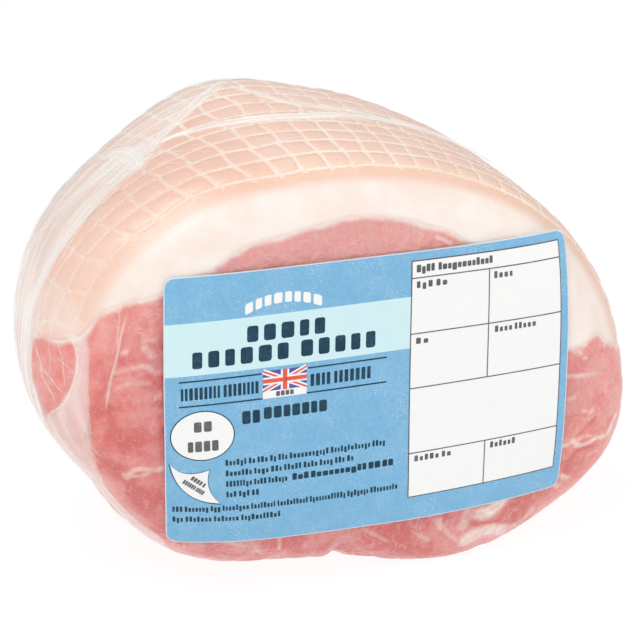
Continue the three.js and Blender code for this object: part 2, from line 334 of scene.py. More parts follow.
    def rows(self, columns: int, face: int, rim: int, side: int, back: int) -> tuple[Array, Array, Array]:
        """Places of a net of points over the whole surface, from the cut face to the far end.

        Args:
            columns: How many angles there are in a turn.
            face: Rows on the cut face.
            rim: Rows round each rim.
            side: Rows on the side.
            back: Rows on the far end.

        Returns:
            Angle, depth and share of the radius, each as (rows, columns).
        """
        theta = np.linspace(0, 2 * math.pi, columns, endpoint=False)[None, :]
        fall, crown = self.front_powers(theta)
        inner, halfway = face // 4, 0.45
        shares = np.concatenate([np.linspace(self.pole_share, halfway, inner, endpoint=False),
                                 np.linspace(halfway, self.face_share, face - inner)])[:, None]
        parts = [(self.end_depth(theta, shares), shares + 0 * theta)]
        turn = np.linspace(0, 1, rim + 2)[1:-1, None]
        first = np.arccos(self.face_share ** (fall / 2))
        last = np.arcsin((-self.side_first / self.front_depth) ** (crown / 2))
        phi = lerp(first, last, turn)
        parts.append((-self.front_depth * np.sin(phi) ** (2 / crown), np.cos(phi) ** (2 / fall)))
        depths = np.linspace(self.side_first, self.side_last, side)[:, None] + 0 * theta
        parts.append((depths, self.side_share(theta + 0 * depths, depths)))
        first = np.arcsin((self.side_last / self.back_depth) ** (self.back_crown / 2))
        last = np.arccos(self.back_share ** (self.back_fall / 2))
        phi = lerp(first, last, turn) + 0 * theta
        parts.append((self.back_depth * np.sin(phi) ** (2 / self.back_crown),
                      np.cos(phi) ** (2 / self.back_fall)))
        shares = np.linspace(self.back_share, self.pole_share, back)[:, None] + 0 * theta
        parts.append((self.end_depth(theta, shares, front=False), shares))
        y, share = (np.concatenate([part[k] for part in parts]) for k in (0, 1))
        return theta + 0 * y, y, share

    def tips(self) -> tuple[Array, Array]:
        """Middle points of the cut face and of the far end."""
        return (np.array([0, -self.front_depth, self.axis_height]),
                np.array([0, self.back_depth, self.axis_height]))

    def to_model(self, points: Array) -> Array:
        """Points in mm from the axis as points in metres in the model's frame."""
        return (points + np.array([*self.offset, 0.0])) * MM

    def from_model(self, points: Array) -> Array:
        """Points in metres in the model's frame as points in mm from the axis."""
        return points / MM - np.array([*self.offset, 0.0])


FORM = JointForm()


# ---- meshes


def ring_normals(rings: Array) -> Array:
    """Outward directions of a closed net of points, given as (rows, columns, 3)."""
    round_it = np.roll(rings, -1, axis=1) - np.roll(rings, 1, axis=1)
    return unit(np.cross(np.gradient(rings, axis=0), round_it))


def linked(name: str, data: bpy.types.ID | None) -> Piece:
    """New object of some data, in the scene.

    Args:
        name: Its name.
        data: Its mesh or lamp, if any.

    Returns:
        The new object.
    """
    thing = bpy.data.objects.new(name, data)
    bpy.context.scene.collection.objects.link(thing)
    return thing


def new_object(name: str, points: Array, faces: Sequence[Sequence[int]], edges: Sequence[Pair] = ()) -> Piece:
    """Smoothly shaded object of a mesh.

    Args:
        name: The object's name.
        points: Its points in mm from the joint's axis as (count, 3).
        faces: The corners of each face.
        edges: The ends of each bare edge.

    Returns:
        The new object.
    """
    mesh = bpy.data.meshes.new(name)
    mesh.from_pydata(FORM.to_model(points).tolist(), edges, faces)
    mesh.update()
    mesh.shade_smooth()
    return linked(name, mesh)


def shell(name: str, rings: Array, tips: tuple[Array, Array]) -> Piece:
    """Closed shell through rings of points, with a fan of triangles to the tip at each end.

    Args:
        name: The object's name.
        rings: Points in mm from the axis as (rows, columns, 3).
        tips: The middle points of the first and the last ring.

    Returns:
        The new object.
    """
    rows, columns = rings.shape[:2]
    row, column = np.meshgrid(np.arange(rows - 1), np.arange(columns), indexing="ij")
    after = (column + 1) % columns
    quads = np.stack([row * columns + column, (row + 1) * columns + column, (row + 1) * columns + after,
                      row * columns + after], -1).reshape(-1, 4)
    front, back, base = rows * columns, rows * columns + 1, (rows - 1) * columns
    pairs = [(here, (here + 1) % columns) for here in range(columns)]
    fans = [(front, a, b) for a, b in pairs] + [(back, base + b, base + a) for a, b in pairs]
    points = np.concatenate([rings.reshape(-1, 3), *([tip] for tip in tips)])
    return new_object(name, points, quads.tolist() + fans)


def slab(name: str, top: Array, foot: Array) -> Piece:
    """Closed sheet between two nets of points.

    Args:
        name: The object's name.
        top: Its outer points in mm from the axis as (rows, columns, 3).
        foot: Its inner points, likewise.

    Returns:
        The new object.
    """
    n, m = top.shape[:2]
    faces = []
    for a in (i * m + j for i in range(n - 1) for j in range(m - 1)):
        quad = (a, a + m, a + m + 1, a + 1)
        faces += [quad, tuple(corner + n * m for corner in (quad[0], *quad[:0:-1]))]
    border = ([i * m for i in range(n)] + [(n - 1) * m + j for j in range(1, m)]
              + [i * m + m - 1 for i in range(n - 2, -1, -1)] + list(range(m - 2, 0, -1)))
    faces += [(b, a, a + n * m, b + n * m) for a, b in zip(border, border[1:] + border[:1])]
    return new_object(name, np.concatenate([top.reshape(-1, 3), foot.reshape(-1, 3)]), faces)


def points_of(thing: Piece) -> Array:
    """Points of an object's mesh, in mm from the joint's axis.

    Args:
        thing: The object.

    Returns:
        The points, one a row.
    """
    flat = np.zeros(len(thing.data.vertices) * 3)
    thing.data.vertices.foreach_get("co", flat)
    return FORM.from_model(flat.reshape(-1, 3))


def add_value(thing: Piece, name: str, values: Array) -> None:
    """Gives each point of an object's mesh a value, or a vector, that its material reads by name.

    Args:
        thing: The object.
        name: The value's name.
        values: One value, or one row, for each point.
    """
    single = values.ndim == 1
    layer = thing.data.attributes.new(name, "FLOAT" if single else "FLOAT_VECTOR", "POINT")
    layer.data.foreach_set("value" if single else "vector", values.astype(np.float32).ravel())


def evaluated(thing: Piece, name: str) -> Piece:
    """Plain copy of an object, under a name, with its modifiers worked out. The first object goes.

    Args:
        thing: The object.
        name: The copy's name.

    Returns:
        The copy.
    """
    graph = bpy.context.evaluated_depsgraph_get()
    mesh = bpy.data.meshes.new_from_object(thing.evaluated_get(graph))
    mesh.name = name
    bpy.data.objects.remove(thing)
    return linked(name, mesh)


def place_on_model(thing: Piece, finish: bpy.types.Material | None, slot: str, *nodes: str) -> None:
    """Lets a finished piece ride on the pack, hides the model's nodes that it stands for, and reports it.

    Args:
        thing: The object.
        finish: Its material, if it has none yet.
        slot: Not used.
        nodes: The nodes of the model that it stands for.
    """
    if finish:
        thing.data.materials.append(finish)
    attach(thing, BODY)
    if nodes:
        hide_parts(*nodes)
    LOG.info("%s: %d faces", thing.name, len(thing.data.polygons))


# ---- materials


class Layout:
    """A node tree being laid out, with a short call for each kind of node that the finishes use."""

    def __init__(self, tree: bpy.types.NodeTree) -> None:
        """Starts on a tree, empty or not."""
        self.tree = tree

    def feed(self, target: Socket, source: object) -> None:
        """Links a socket to a source, or sets it to a plain value.

        Args:
            target: The socket.
            source: Another socket, or a value.
        """
        if isinstance(source, Socket):
            self.tree.links.new(source, target)
        else:
            target.default_value = source

    def node(self, kind: str, sources: dict[str | int, object] | None = None,
             **settings: object) -> bpy.types.Node:
        """New node of a kind.

        Args:
            kind: The node's kind.
            sources: What goes into its inputs, by name or number.
            **settings: Its settings.

        Returns:
            The node.
        """
        made = self.tree.nodes.new(kind)
        for name, value in settings.items():
            setattr(made, name, value)
        for socket, source in (sources or {}).items():
            self.feed(made.inputs[socket], source)
        return made

    def maths(self, operation: str, a: object, b: object, clamp: bool = False) -> Socket:
        """Result of a sum on two values."""
        return self.node("ShaderNodeMath", {0: a, 1: b}, operation=operation, use_clamp=clamp).outputs[0]

    plus = partialmethod(maths, "ADD")
    minus = partialmethod(maths, "SUBTRACT")
    times = partialmethod(maths, "MULTIPLY")
    most = partialmethod(maths, "MAXIMUM")

    def off_middle(self, value: object) -> Socket:
        """How far a value from 0 to 1 is from its middle."""
        return self.maths("ABSOLUTE", self.minus(value, 0.5), 0.0)

    def step(self, value: object, low: object, high: object,
             to_low: float = 0.0, to_high: float = 1.0) -> Socket:
        """Value carried smoothly from one range to another."""
        return self.node("ShaderNodeMapRange", {"Value": value, "From Min": low, "From Max": high,
                                                "To Min": to_low, "To Max": to_high},
                         interpolation_type="SMOOTHSTEP", clamp=True).outputs["Result"]

    def mix(self, share: object, a: object, b: object) -> Socket:
        """Colour between a and b at a share."""
        a, b = ((*source, 1.0) if isinstance(source, tuple) else source for source in (a, b))
        return self.node("ShaderNodeMix", {"Factor": share, 6: a, 7: b}, data_type="RGBA").outputs[2]

    def attribute(self, name: str, output: str = "Fac") -> Socket:
        """Value that the mesh's points carry."""
        return self.node("ShaderNodeAttribute", attribute_type="GEOMETRY",
                         attribute_name=name).outputs[output]

    def place(self, stretch: Triple = (1, 1, 1), turn: Triple = (0, 0, 0)) -> Socket:
        """Place on the object in mm, stretched and turned."""
        place = self.node("ShaderNodeTexCoord").outputs["Object"]
        return self.node("ShaderNodeMapping", {"Scale": tuple(value / MM for value in stretch),
                                               "Rotation": turn, "Vector": place}).outputs["Vector"]

    def scaled(self, where: Socket, size: Socket) -> Socket:
        """Place counted in steps of a size."""
        return self.node("ShaderNodeVectorMath", {0: where, "Scale": self.maths("DIVIDE", 1.0, size)},
                         operation="SCALE").outputs[0]

    def noise(self, where: object, size: float, detail: float = 3.0, rough: float = 0.55, warp: float = 0.0
              ) -> Socket:
        """Noise from 0 to 1 with features of a size in the place's own units."""
        return self.node("ShaderNodeTexNoise", {"Vector": where, "Scale": 1 / size, "Detail": detail,
                                                "Roughness": rough, "Distortion": warp}).outputs["Fac"]

    def group(self, tree: bpy.types.NodeTree, **inputs: object) -> bpy.types.NodeOutputs:
        """Outputs, by name, of a node group whose inputs are fed by name."""
        return self.node("ShaderNodeGroup", inputs, node_tree=tree).outputs

    def bump(self, height: object, strength: float, depth: float) -> Socket:
        """Normal of a surface with a low relief of a depth in mm."""
        return self.node("ShaderNodeBump", {"Strength": strength, "Distance": depth * MM, "Height": height}
                         ).outputs["Normal"]


class Surface(Layout):
    """Material being laid out round one Principled shader."""

    def __init__(self, name: str, roughness: float, **constants: object) -> None:
        """Starts a material.

        Args:
            name: Its name.
            roughness: Its shader's roughness.
            **constants: Other unvarying socket values by name, with _ for a space.
        """
        self.material = bpy.data.materials.new(name)
        self.material.use_nodes = True
        super().__init__(self.material.node_tree)
        self.dress(Roughness=roughness, **constants)

    def dress(self, **sources: object) -> bpy.types.Material:
        """Feeds the shader's sockets by name, with _ for a space, and gives the material.

        Returns:
            The finished material.
        """
        for name, source in sources.items():
            self.feed(self.tree.nodes["Principled BSDF"].inputs[name.replace("_", " ")], source)
        return self.material

    def seen_cover(self, cover: object) -> Socket:
        """Cover of a thin thing whose far wall isn't seen and that shades little of what lies below.

        Args:
            cover: The cover as the thing has it.

        Returns:
            The cover as light meets it.
        """
        camera = self.node("ShaderNodeLightPath").outputs["Is Camera Ray"]
        near_wall = self.minus(1.0, self.node("ShaderNodeNewGeometry").outputs["Backfacing"])
        return self.times(cover, self.times(near_wall, self.step(camera, 0.0, 1.0, 0.2, 1.0)))


class SharedEffects:
    """Node groups that several finishes use, each made once."""

    def __init__(self) -> None:
        """Makes the groups."""
        self.mottle = self._mottle()
        self.speckle = self._speckle()
        self.ripple = self._ripple()

    @staticmethod
    def _start(name: str, inputs: dict[str, float], outputs: Iterable[str]
               ) -> tuple[Layout, bpy.types.NodeOutputs, bpy.types.NodeInputs]:
        """New group.

        Args:
            name: Its name.
            inputs: Its value inputs with their usual values. A vector input named Place comes before them.
            outputs: Its value outputs.

        Returns:
            Its layout, what comes in and what goes out.
        """
        tree = bpy.data.node_groups.new(name, "ShaderNodeTree")
        tree.interface.new_socket("Place", in_out="INPUT", socket_type="NodeSocketVector")
        for label, default in inputs.items():
            socket = tree.interface.new_socket(label, in_out="INPUT", socket_type="NodeSocketFloat")
            socket.default_value = default
        for label in outputs:
            tree.interface.new_socket(label, in_out="OUTPUT", socket_type="NodeSocketFloat")
        layout = Layout(tree)
        return layout, layout.node("NodeGroupInput").outputs, layout.node("NodeGroupOutput").inputs

    def _mottle(self) -> bpy.types.NodeTree:
        """Cloudy unevenness at two sizes, as in meat, fat and paper.

        Returns:
            The node group.
        """
        layout, start, end = self._start("mottle", {"Broad": 12.0, "Fine": 1.5}, ("Cloud", "Grain"))
        for label, size, detail in (("Cloud", "Broad", 3.0), ("Grain", "Fine", 4.0)):
            scaled = layout.scaled(start["Place"], start[size])
            layout.feed(end[label], layout.step(layout.noise(scaled, 1.0, detail), 0.3, 0.7))
        return layout.tree

    def _speckle(self) -> bpy.types.NodeTree:
        """Small scattered dots, as a mask.

        Returns:
            The node group.
        """
        layout, start, end = self._start("speckle", {"Spacing": 1.4, "Dot": 0.25}, ("Mask",))
        scaled = layout.scaled(start["Place"], start["Spacing"])
        cells = layout.node("ShaderNodeTexVoronoi", {"Vector": scaled}, feature="F1")
        dots = layout.step(cells.outputs["Distance"], start["Dot"], layout.times(start["Dot"], 0.4))
        crowd = layout.step(layout.noise(scaled, 5.0, 2.0), 0.42, 0.62)
        layout.feed(end["Mask"], layout.times(dots, crowd))
        return layout.tree

    def _ripple(self) -> bpy.types.NodeTree:
        """Low wrinkles of tight film, as a height.

        Returns:
            The node group.
        """
        layout, start, end = self._start("ripple", {"Size": 5.0}, ("Height",))
        base = layout.noise(layout.scaled(start["Place"], start["Size"]), 1.0, 2.0, warp=1.2)
        layout.feed(end["Height"], layout.step(layout.off_middle(base), 0.0, 0.12, 1.0, 0.0))
        return layout.tree


EFFECTS = SharedEffects()


@dataclass(frozen=True)
class LeanFinish:
    """Moist raw lean under tight film: mottled pink with pale marbling, whiter where it meets the fat."""

    deep: Triple = linear(214, 86, 82)
    flesh: Triple = linear(238, 136, 128)
    pale: Triple = linear(246, 174, 164)
    rose: Triple = linear(216, 148, 149)
    sinew: Triple = linear(246, 200, 190)
    fat: Triple = linear(251, 232, 222)
    roughness: float = 0.36

    def material(self) -> bpy.types.Material:
        """Builds the material, which reads the values seam, marble, dark, red and rose.

        Returns:
            The material.
        """
        lay = Surface("lean meat", self.roughness, Coat_Weight=0.35, Coat_Roughness=0.15,
                      Subsurface_Weight=0.12, Subsurface_Scale=0.0015, Subsurface_Radius=(1.0, 0.35, 0.25))
        where = lay.place()
        mottle = lay.group(EFFECTS.mottle, Place=where, Broad=6.0, Fine=1.6)
        tone = lay.plus(mottle["Cloud"], lay.attribute("red"))
        colour = lay.mix(lay.step(tone, -0.5, 1.0), self.pale, self.flesh)
        rosy = lay.times(lay.attribute("rose"), lay.step(mottle["Grain"], 0.0, 1.0, 0.6, 0.95))
        colour = lay.mix(rosy, colour, self.rose)
        colour = lay.mix(lay.step(tone, 0.75, 1.7, 0.0, 0.9), colour, self.deep)
        # Darker grain is the meat's own uneven colour. The dark streaks add painted shade along some grooves,
        # as well as darker marks of the meat.
        shade = lay.most(lay.step(mottle["Grain"], 0.6, 0.1, 0.0, 0.22),
                         lay.times(lay.attribute("dark"), 0.9))
        colour = lay.mix(shade, colour, self.deep)
        fibres = lay.noise(lay.place((1.0, 0.4, 0.35), (0.0, 0.6, 0.0)), 1.2, 4.0, 0.6, 0.5)
        wisps = lay.noise(lay.place((1.0, 0.5, 1.0), (0.3, 0.9, 0.2)), 6.0, 3.0, 0.5, 0.8)
        thin = lay.step(lay.off_middle(wisps), 0.0, 0.03, 0.38, 0.0)
        crowd = lay.step(lay.noise(where, 9.0, 2.0), 0.45, 0.62)
        specks = lay.step(lay.noise(where, 0.7, 2.0, 0.6), 0.6, 0.74, 0.0, 0.42)
        light = lay.most(lay.step(fibres, 0.52, 0.75, 0.0, 0.3), lay.most(specks, lay.times(thin, crowd)))
        colour = lay.mix(light, colour, self.sinew)
        ragged = lay.times(lay.minus(lay.noise(where, 4.0, 2.0, 0.5), 0.5), -2.0)
        near_fat = lay.step(lay.plus(lay.attribute("seam"), ragged), 1.5, -0.2)
        # Pale streaks in the fat's colour: marbling, and two short dashes that are painted glints.
        veins_and_glints = lay.times(lay.attribute("marbling_and_glints"), lay.step(mottle["Grain"], 0.0, 0.9, 0.6, 1.0))
        colour = lay.mix(lay.most(near_fat, veins_and_glints), colour, self.fat)
        relief = lay.plus(lay.times(fibres, 0.5), mottle["Grain"])
        return lay.dress(Base_Color=colour, Normal=lay.bump(relief, 0.55, 0.35))


@dataclass(frozen=True)
class FatFinish:
    """Creamy fat on the cut face, and peach rind with pressed squares on the side."""

    fat: Triple = linear(254, 241, 233)
    fat_shade: Triple = linear(250, 227, 215)
    rind: Triple = linear(248, 207, 188)
    rind_pale: Triple = linear(247, 213, 198)
    # Colour of the painted shade in the net's hollows and just in front of each hoop.
    groove_shade: Triple = linear(246, 200, 168)
    edge: Triple = linear(251, 216, 189)
    # Colour of the painted shade on the upper-left rind, darker and pinker where the key lamp lights it most.
    left_rind_shade: Triple = linear(238, 186, 168)
    flesh: Triple = linear(226, 140, 134)
    roughness: float = 0.42

    def material(self) -> bpy.types.Material:
        """Builds the material, which reads the values rind, pillow, lee, rim, flush and seam.

        Returns:
            The material.
        """
        lay = Surface("fat and rind", self.roughness, Coat_Weight=0.25, Coat_Roughness=0.25,
                      Subsurface_Weight=0.15, Subsurface_Scale=0.0015, Subsurface_Radius=(1.0, 0.6, 0.45))
        mottle = lay.group(EFFECTS.mottle, Place=lay.place(), Broad=8.0, Fine=2.2)
        rim = lay.times(lay.attribute("rim"), lay.step(mottle["Grain"], 0.0, 1.0, 0.3, 0.8))
        # Painted shade: the rind turns darker and warmer in the hollows at the threads and just in front of
        # each hoop.
        hollow_shade = lay.step(lay.attribute("pillow"), 0.5, 0.0, 0.0, 0.3)
        hoop_shade = lay.times(lay.attribute("hoop_shade"), lay.step(mottle["Grain"], 0.0, 0.9, 0.25, 0.85))
        rind = lay.mix(mottle["Cloud"], self.rind, self.rind_pale)
        for share, tint in ((rim, self.edge), (hollow_shade, self.groove_shade), (lay.attribute("left_rind_shade"), self.left_rind_shade),
                            (hoop_shade, self.groove_shade)):
            rind = lay.mix(share, rind, tint)
        fat = lay.mix(lay.times(mottle["Cloud"], 0.75), self.fat, self.fat_shade)
        colour = lay.mix(lay.attribute("rind"), fat, rind)
        blush = lay.times(lay.step(lay.attribute("seam"), 0.9, 0.0), 0.2)
        return lay.dress(Base_Color=lay.mix(blush, colour, self.flesh),
                         Normal=lay.bump(mottle["Grain"], 0.3, 0.2))


@dataclass(frozen=True)
class ThreadFinish:
    """Elastic netting thread, paler where its filaments catch the light."""

    name: str
    thread: Triple
    filament: Triple
    alpha: float
    roughness: float = 0.7

    def material(self) -> bpy.types.Material:
        """Builds the material, whose alpha follows the value show.

        Returns:
            The material.
        """
        lay = Surface(self.name, self.roughness)
        twist, fuzz = lay.noise(lay.place(), 0.5, 2.0), lay.noise(lay.place(), 1.1, 3.0)
        cover = lay.times(lay.attribute("show"), lay.step(fuzz, 0.25, 0.65, 0.7, 1.0))
        return lay.dress(Base_Color=lay.mix(twist, self.thread, self.filament),
                         Alpha=lay.seen_cover(lay.times(cover, self.alpha)))


@dataclass(frozen=True)
class FilmFinish:
    """Clear shrink film, whitish where it is loose, by the value haze and streaked along the vector flow."""

    name: str = "shrink film"
    film: Triple = linear(253, 250, 245)
    grey: Triple = linear(243, 239, 233)
    roughness: float = 0.25
    clear: float = 0.04
    dimple: float = 0.14

    def material(self) -> bpy.types.Material:
        """Builds the material, whose alpha rises with the value haze.

        Returns:
            The material.
        """
        lay = Surface(self.name, self.roughness, IOR=1.45)
        streaks = lay.noise(lay.attribute("flow", "Vector"), 1.0, 2.0, 0.5, 0.4)
        uneven = lay.times(lay.attribute("haze"), lay.step(streaks, 0.3, 0.68, 0.78, 1.12))
        ripple = lay.group(EFFECTS.ripple, Place=lay.place(), Size=7.0)
        height = lay.plus(ripple["Height"], lay.times(streaks, 0.5))
        return lay.dress(Base_Color=lay.mix(lay.step(streaks, 0.35, 0.6), self.grey, self.film),
                         Alpha=lay.seen_cover(lay.plus(uneven, self.clear, clamp=True)),
                         Normal=lay.bump(height, self.dimple, 0.2))


@dataclass(frozen=True)
class PaperFinish:
    """Satin label paper printed light blue with pale speckle, white along its cut edge."""

    blue: Triple = linear(131, 188, 224)
    blue_deep: Triple = linear(112, 176, 217)
    dot: Triple = linear(222, 238, 248)
    cut: Triple = linear(222, 234, 242)
    roughness: float = 0.42

    def material(self) -> bpy.types.Material:
        """Builds the material, which reads the value inset.

        Returns:
            The material.
        """
        lay = Surface("label paper", self.roughness, Specular_IOR_Level=0.3)
        where = lay.place()
        mottle = lay.group(EFFECTS.mottle, Place=where, Broad=7.0, Fine=0.8)
        speckle = lay.group(EFFECTS.speckle, Place=where, Spacing=1.0, Dot=0.42)
        flecks = lay.group(EFFECTS.speckle, Place=where, Spacing=1.9, Dot=0.3)
        colour = lay.mix(lay.times(mottle["Grain"], 0.6), self.blue, self.blue_deep)
        colour = lay.mix(lay.most(lay.times(speckle["Mask"], 0.45), flecks["Mask"]), colour, self.dot)
        colour = lay.mix(lay.step(lay.attribute("inset"), 0.3, 0.05), colour, self.cut)
        return lay.dress(Base_Color=colour, Normal=lay.bump(mottle["Grain"], 0.15, 0.05))


@dataclass(frozen=True)
class InkFinish:
    """Flat printing ink with the slight unevenness of print."""

    name: str
    ink: Triple
    worn: Triple
    roughness: float = 0.42

    def material(self) -> bpy.types.Material:
        """Builds the material.

        Returns:
            The material.
        """
        lay = Surface(self.name, self.roughness, Specular_IOR_Level=0.25)
        mottle = lay.group(EFFECTS.mottle, Place=lay.place(), Broad=4.0, Fine=0.5)
        return lay.dress(Base_Color=lay.mix(lay.times(mottle["Grain"], mottle["Cloud"]), self.ink, self.worn))


# ---- the net's pattern


@dataclass(frozen=True)
class NetPattern:
    """Mesh of the elastic net: hoops round the joint, and strands along it that step aside at each hoop."""

    first_angle: float = -2.5
    strands: int = 56
    first_depth: float = -26.0
    depth_step: float = 4.3
    hoops: int = 13
    twist: float = 0.1
    jump: float = 0.09
    wander: float = 0.07
    seed: int = 11
    edge: float = 0.15

    def _shift(self, u: Array, v: Array) -> tuple[Array, Array]:
        """How far the mesh has moved at a place.

        Args:
            u: Strands round the joint.
            v: Hoops along it.

        Returns:
            How far it has moved round the joint and along it, in shares of a mesh.
        """
        draw = np.random.default_rng(self.seed)
        jumps = draw.uniform(-self.jump, self.jump, self.hoops + 3)
        tables = draw.uniform(-self.wander, self.wander, (2, self.hoops, self.strands))
        column, row = np.floor(u).astype(int), np.floor(v).astype(int)
        fu, fv = smooth(u - column), smooth(v - row)

        def knot(table: Array, r: Array, c: Array) -> Array:
            """Value at a knot, in a row and a column."""
            return table[np.clip(r, 0, self.hoops - 1), np.mod(c, self.strands)]

        across, along = (lerp(lerp(knot(t, row, column), knot(t, row, column + 1), fu),
                              lerp(knot(t, row + 1, column), knot(t, row + 1, column + 1), fu), fv)
                         for t in tables)
        return across + self.twist * v + jumps[np.clip(row + 1, 0, self.hoops + 2)], along

    def place(self, u: Array, v: Array) -> tuple[Array, Array]:
        """Angle in radians and depth at a place in the mesh, u strands round and v hoops along."""
        across, along = self._shift(u, v)
        return (np.radians(self.first_angle + 360 / self.strands * (u + across)),
                self.first_depth + self.depth_step * (v + along))

    def locate(self, theta: Array, y: Array) -> tuple[Array, Array]:
        """Place in the mesh of an angle in radians and a depth: the reverse of place.

        Args:
            theta: Angles in radians.
            y: Depths in mm.

        Returns:
            Strands round the joint and hoops along it.
        """
        u0 = (np.degrees(theta) - self.first_angle) * self.strands / 360
        v0 = (y - self.first_depth) / self.depth_step
        u, v = u0, v0
        for _ in range(4):
            across, along = self._shift(u, v)
            u, v = u0 - across, v0 - along
        return u, v

    def relief(self, theta: Array, y: Array) -> tuple[Array, Array]:
        """Rise of the pressed squares and the shade along each hoop.

        Args:
            theta: Angles in radians.
            y: Depths in mm.

        Returns:
            The rise, 0 at the threads and about 1 between them, and the shade just in front of each hoop.
        """
        u, v = self.locate(theta, y)
        row, fu, fv = np.floor(v).astype(int), u - np.floor(u), v - np.floor(v)
        inside = ramp(v, -self.edge, self.edge) * ramp(v, self.hoops - 1 + self.edge, -self.edge)
        draw = np.random.default_rng(self.seed + 1).uniform(0.7, 1.1, (self.hoops + 2, self.strands))
        tile = draw[np.clip(row + 1, 0, self.hoops + 1), np.mod(np.floor(u).astype(int), self.strands)]
        rise = (1 - np.abs(2 * fu - 1) ** 4) * (1 - np.abs(2 * fv - 1) ** 4) * tile
        hoop_shade = ramp(fv, 0.66, 0.16) * (1 - ramp(fv, 0.95, 0.05)) * ramp(np.abs(fu - 0.5), 0.52, -0.1)
        return rise * inside, hoop_shade * inside * tile


NET = NetPattern()


# ---- the meat


@dataclass(frozen=True)
class Groove:
    """Groove where muscles meet: a run of (x, y, z) on the surface, with its width and depth."""

    run: Run
    width: float
    depth: float


@dataclass(frozen=True)
class Streak:
    """Mark on the cut face, mostly marbling, with two painted glints and painted shade along some grooves: a
    run of (x, z), its width, and its strength, below zero where it is dark.
    """

    run: Run
    width: float
    strength: float


@dataclass(frozen=True)
class Patch:
    """Area of the cut face: how much redder it is, or paler below zero, and how much its pink is cooler."""

    x: float
    z: float
    reach: float
    red: float
    rose: float = 0.0


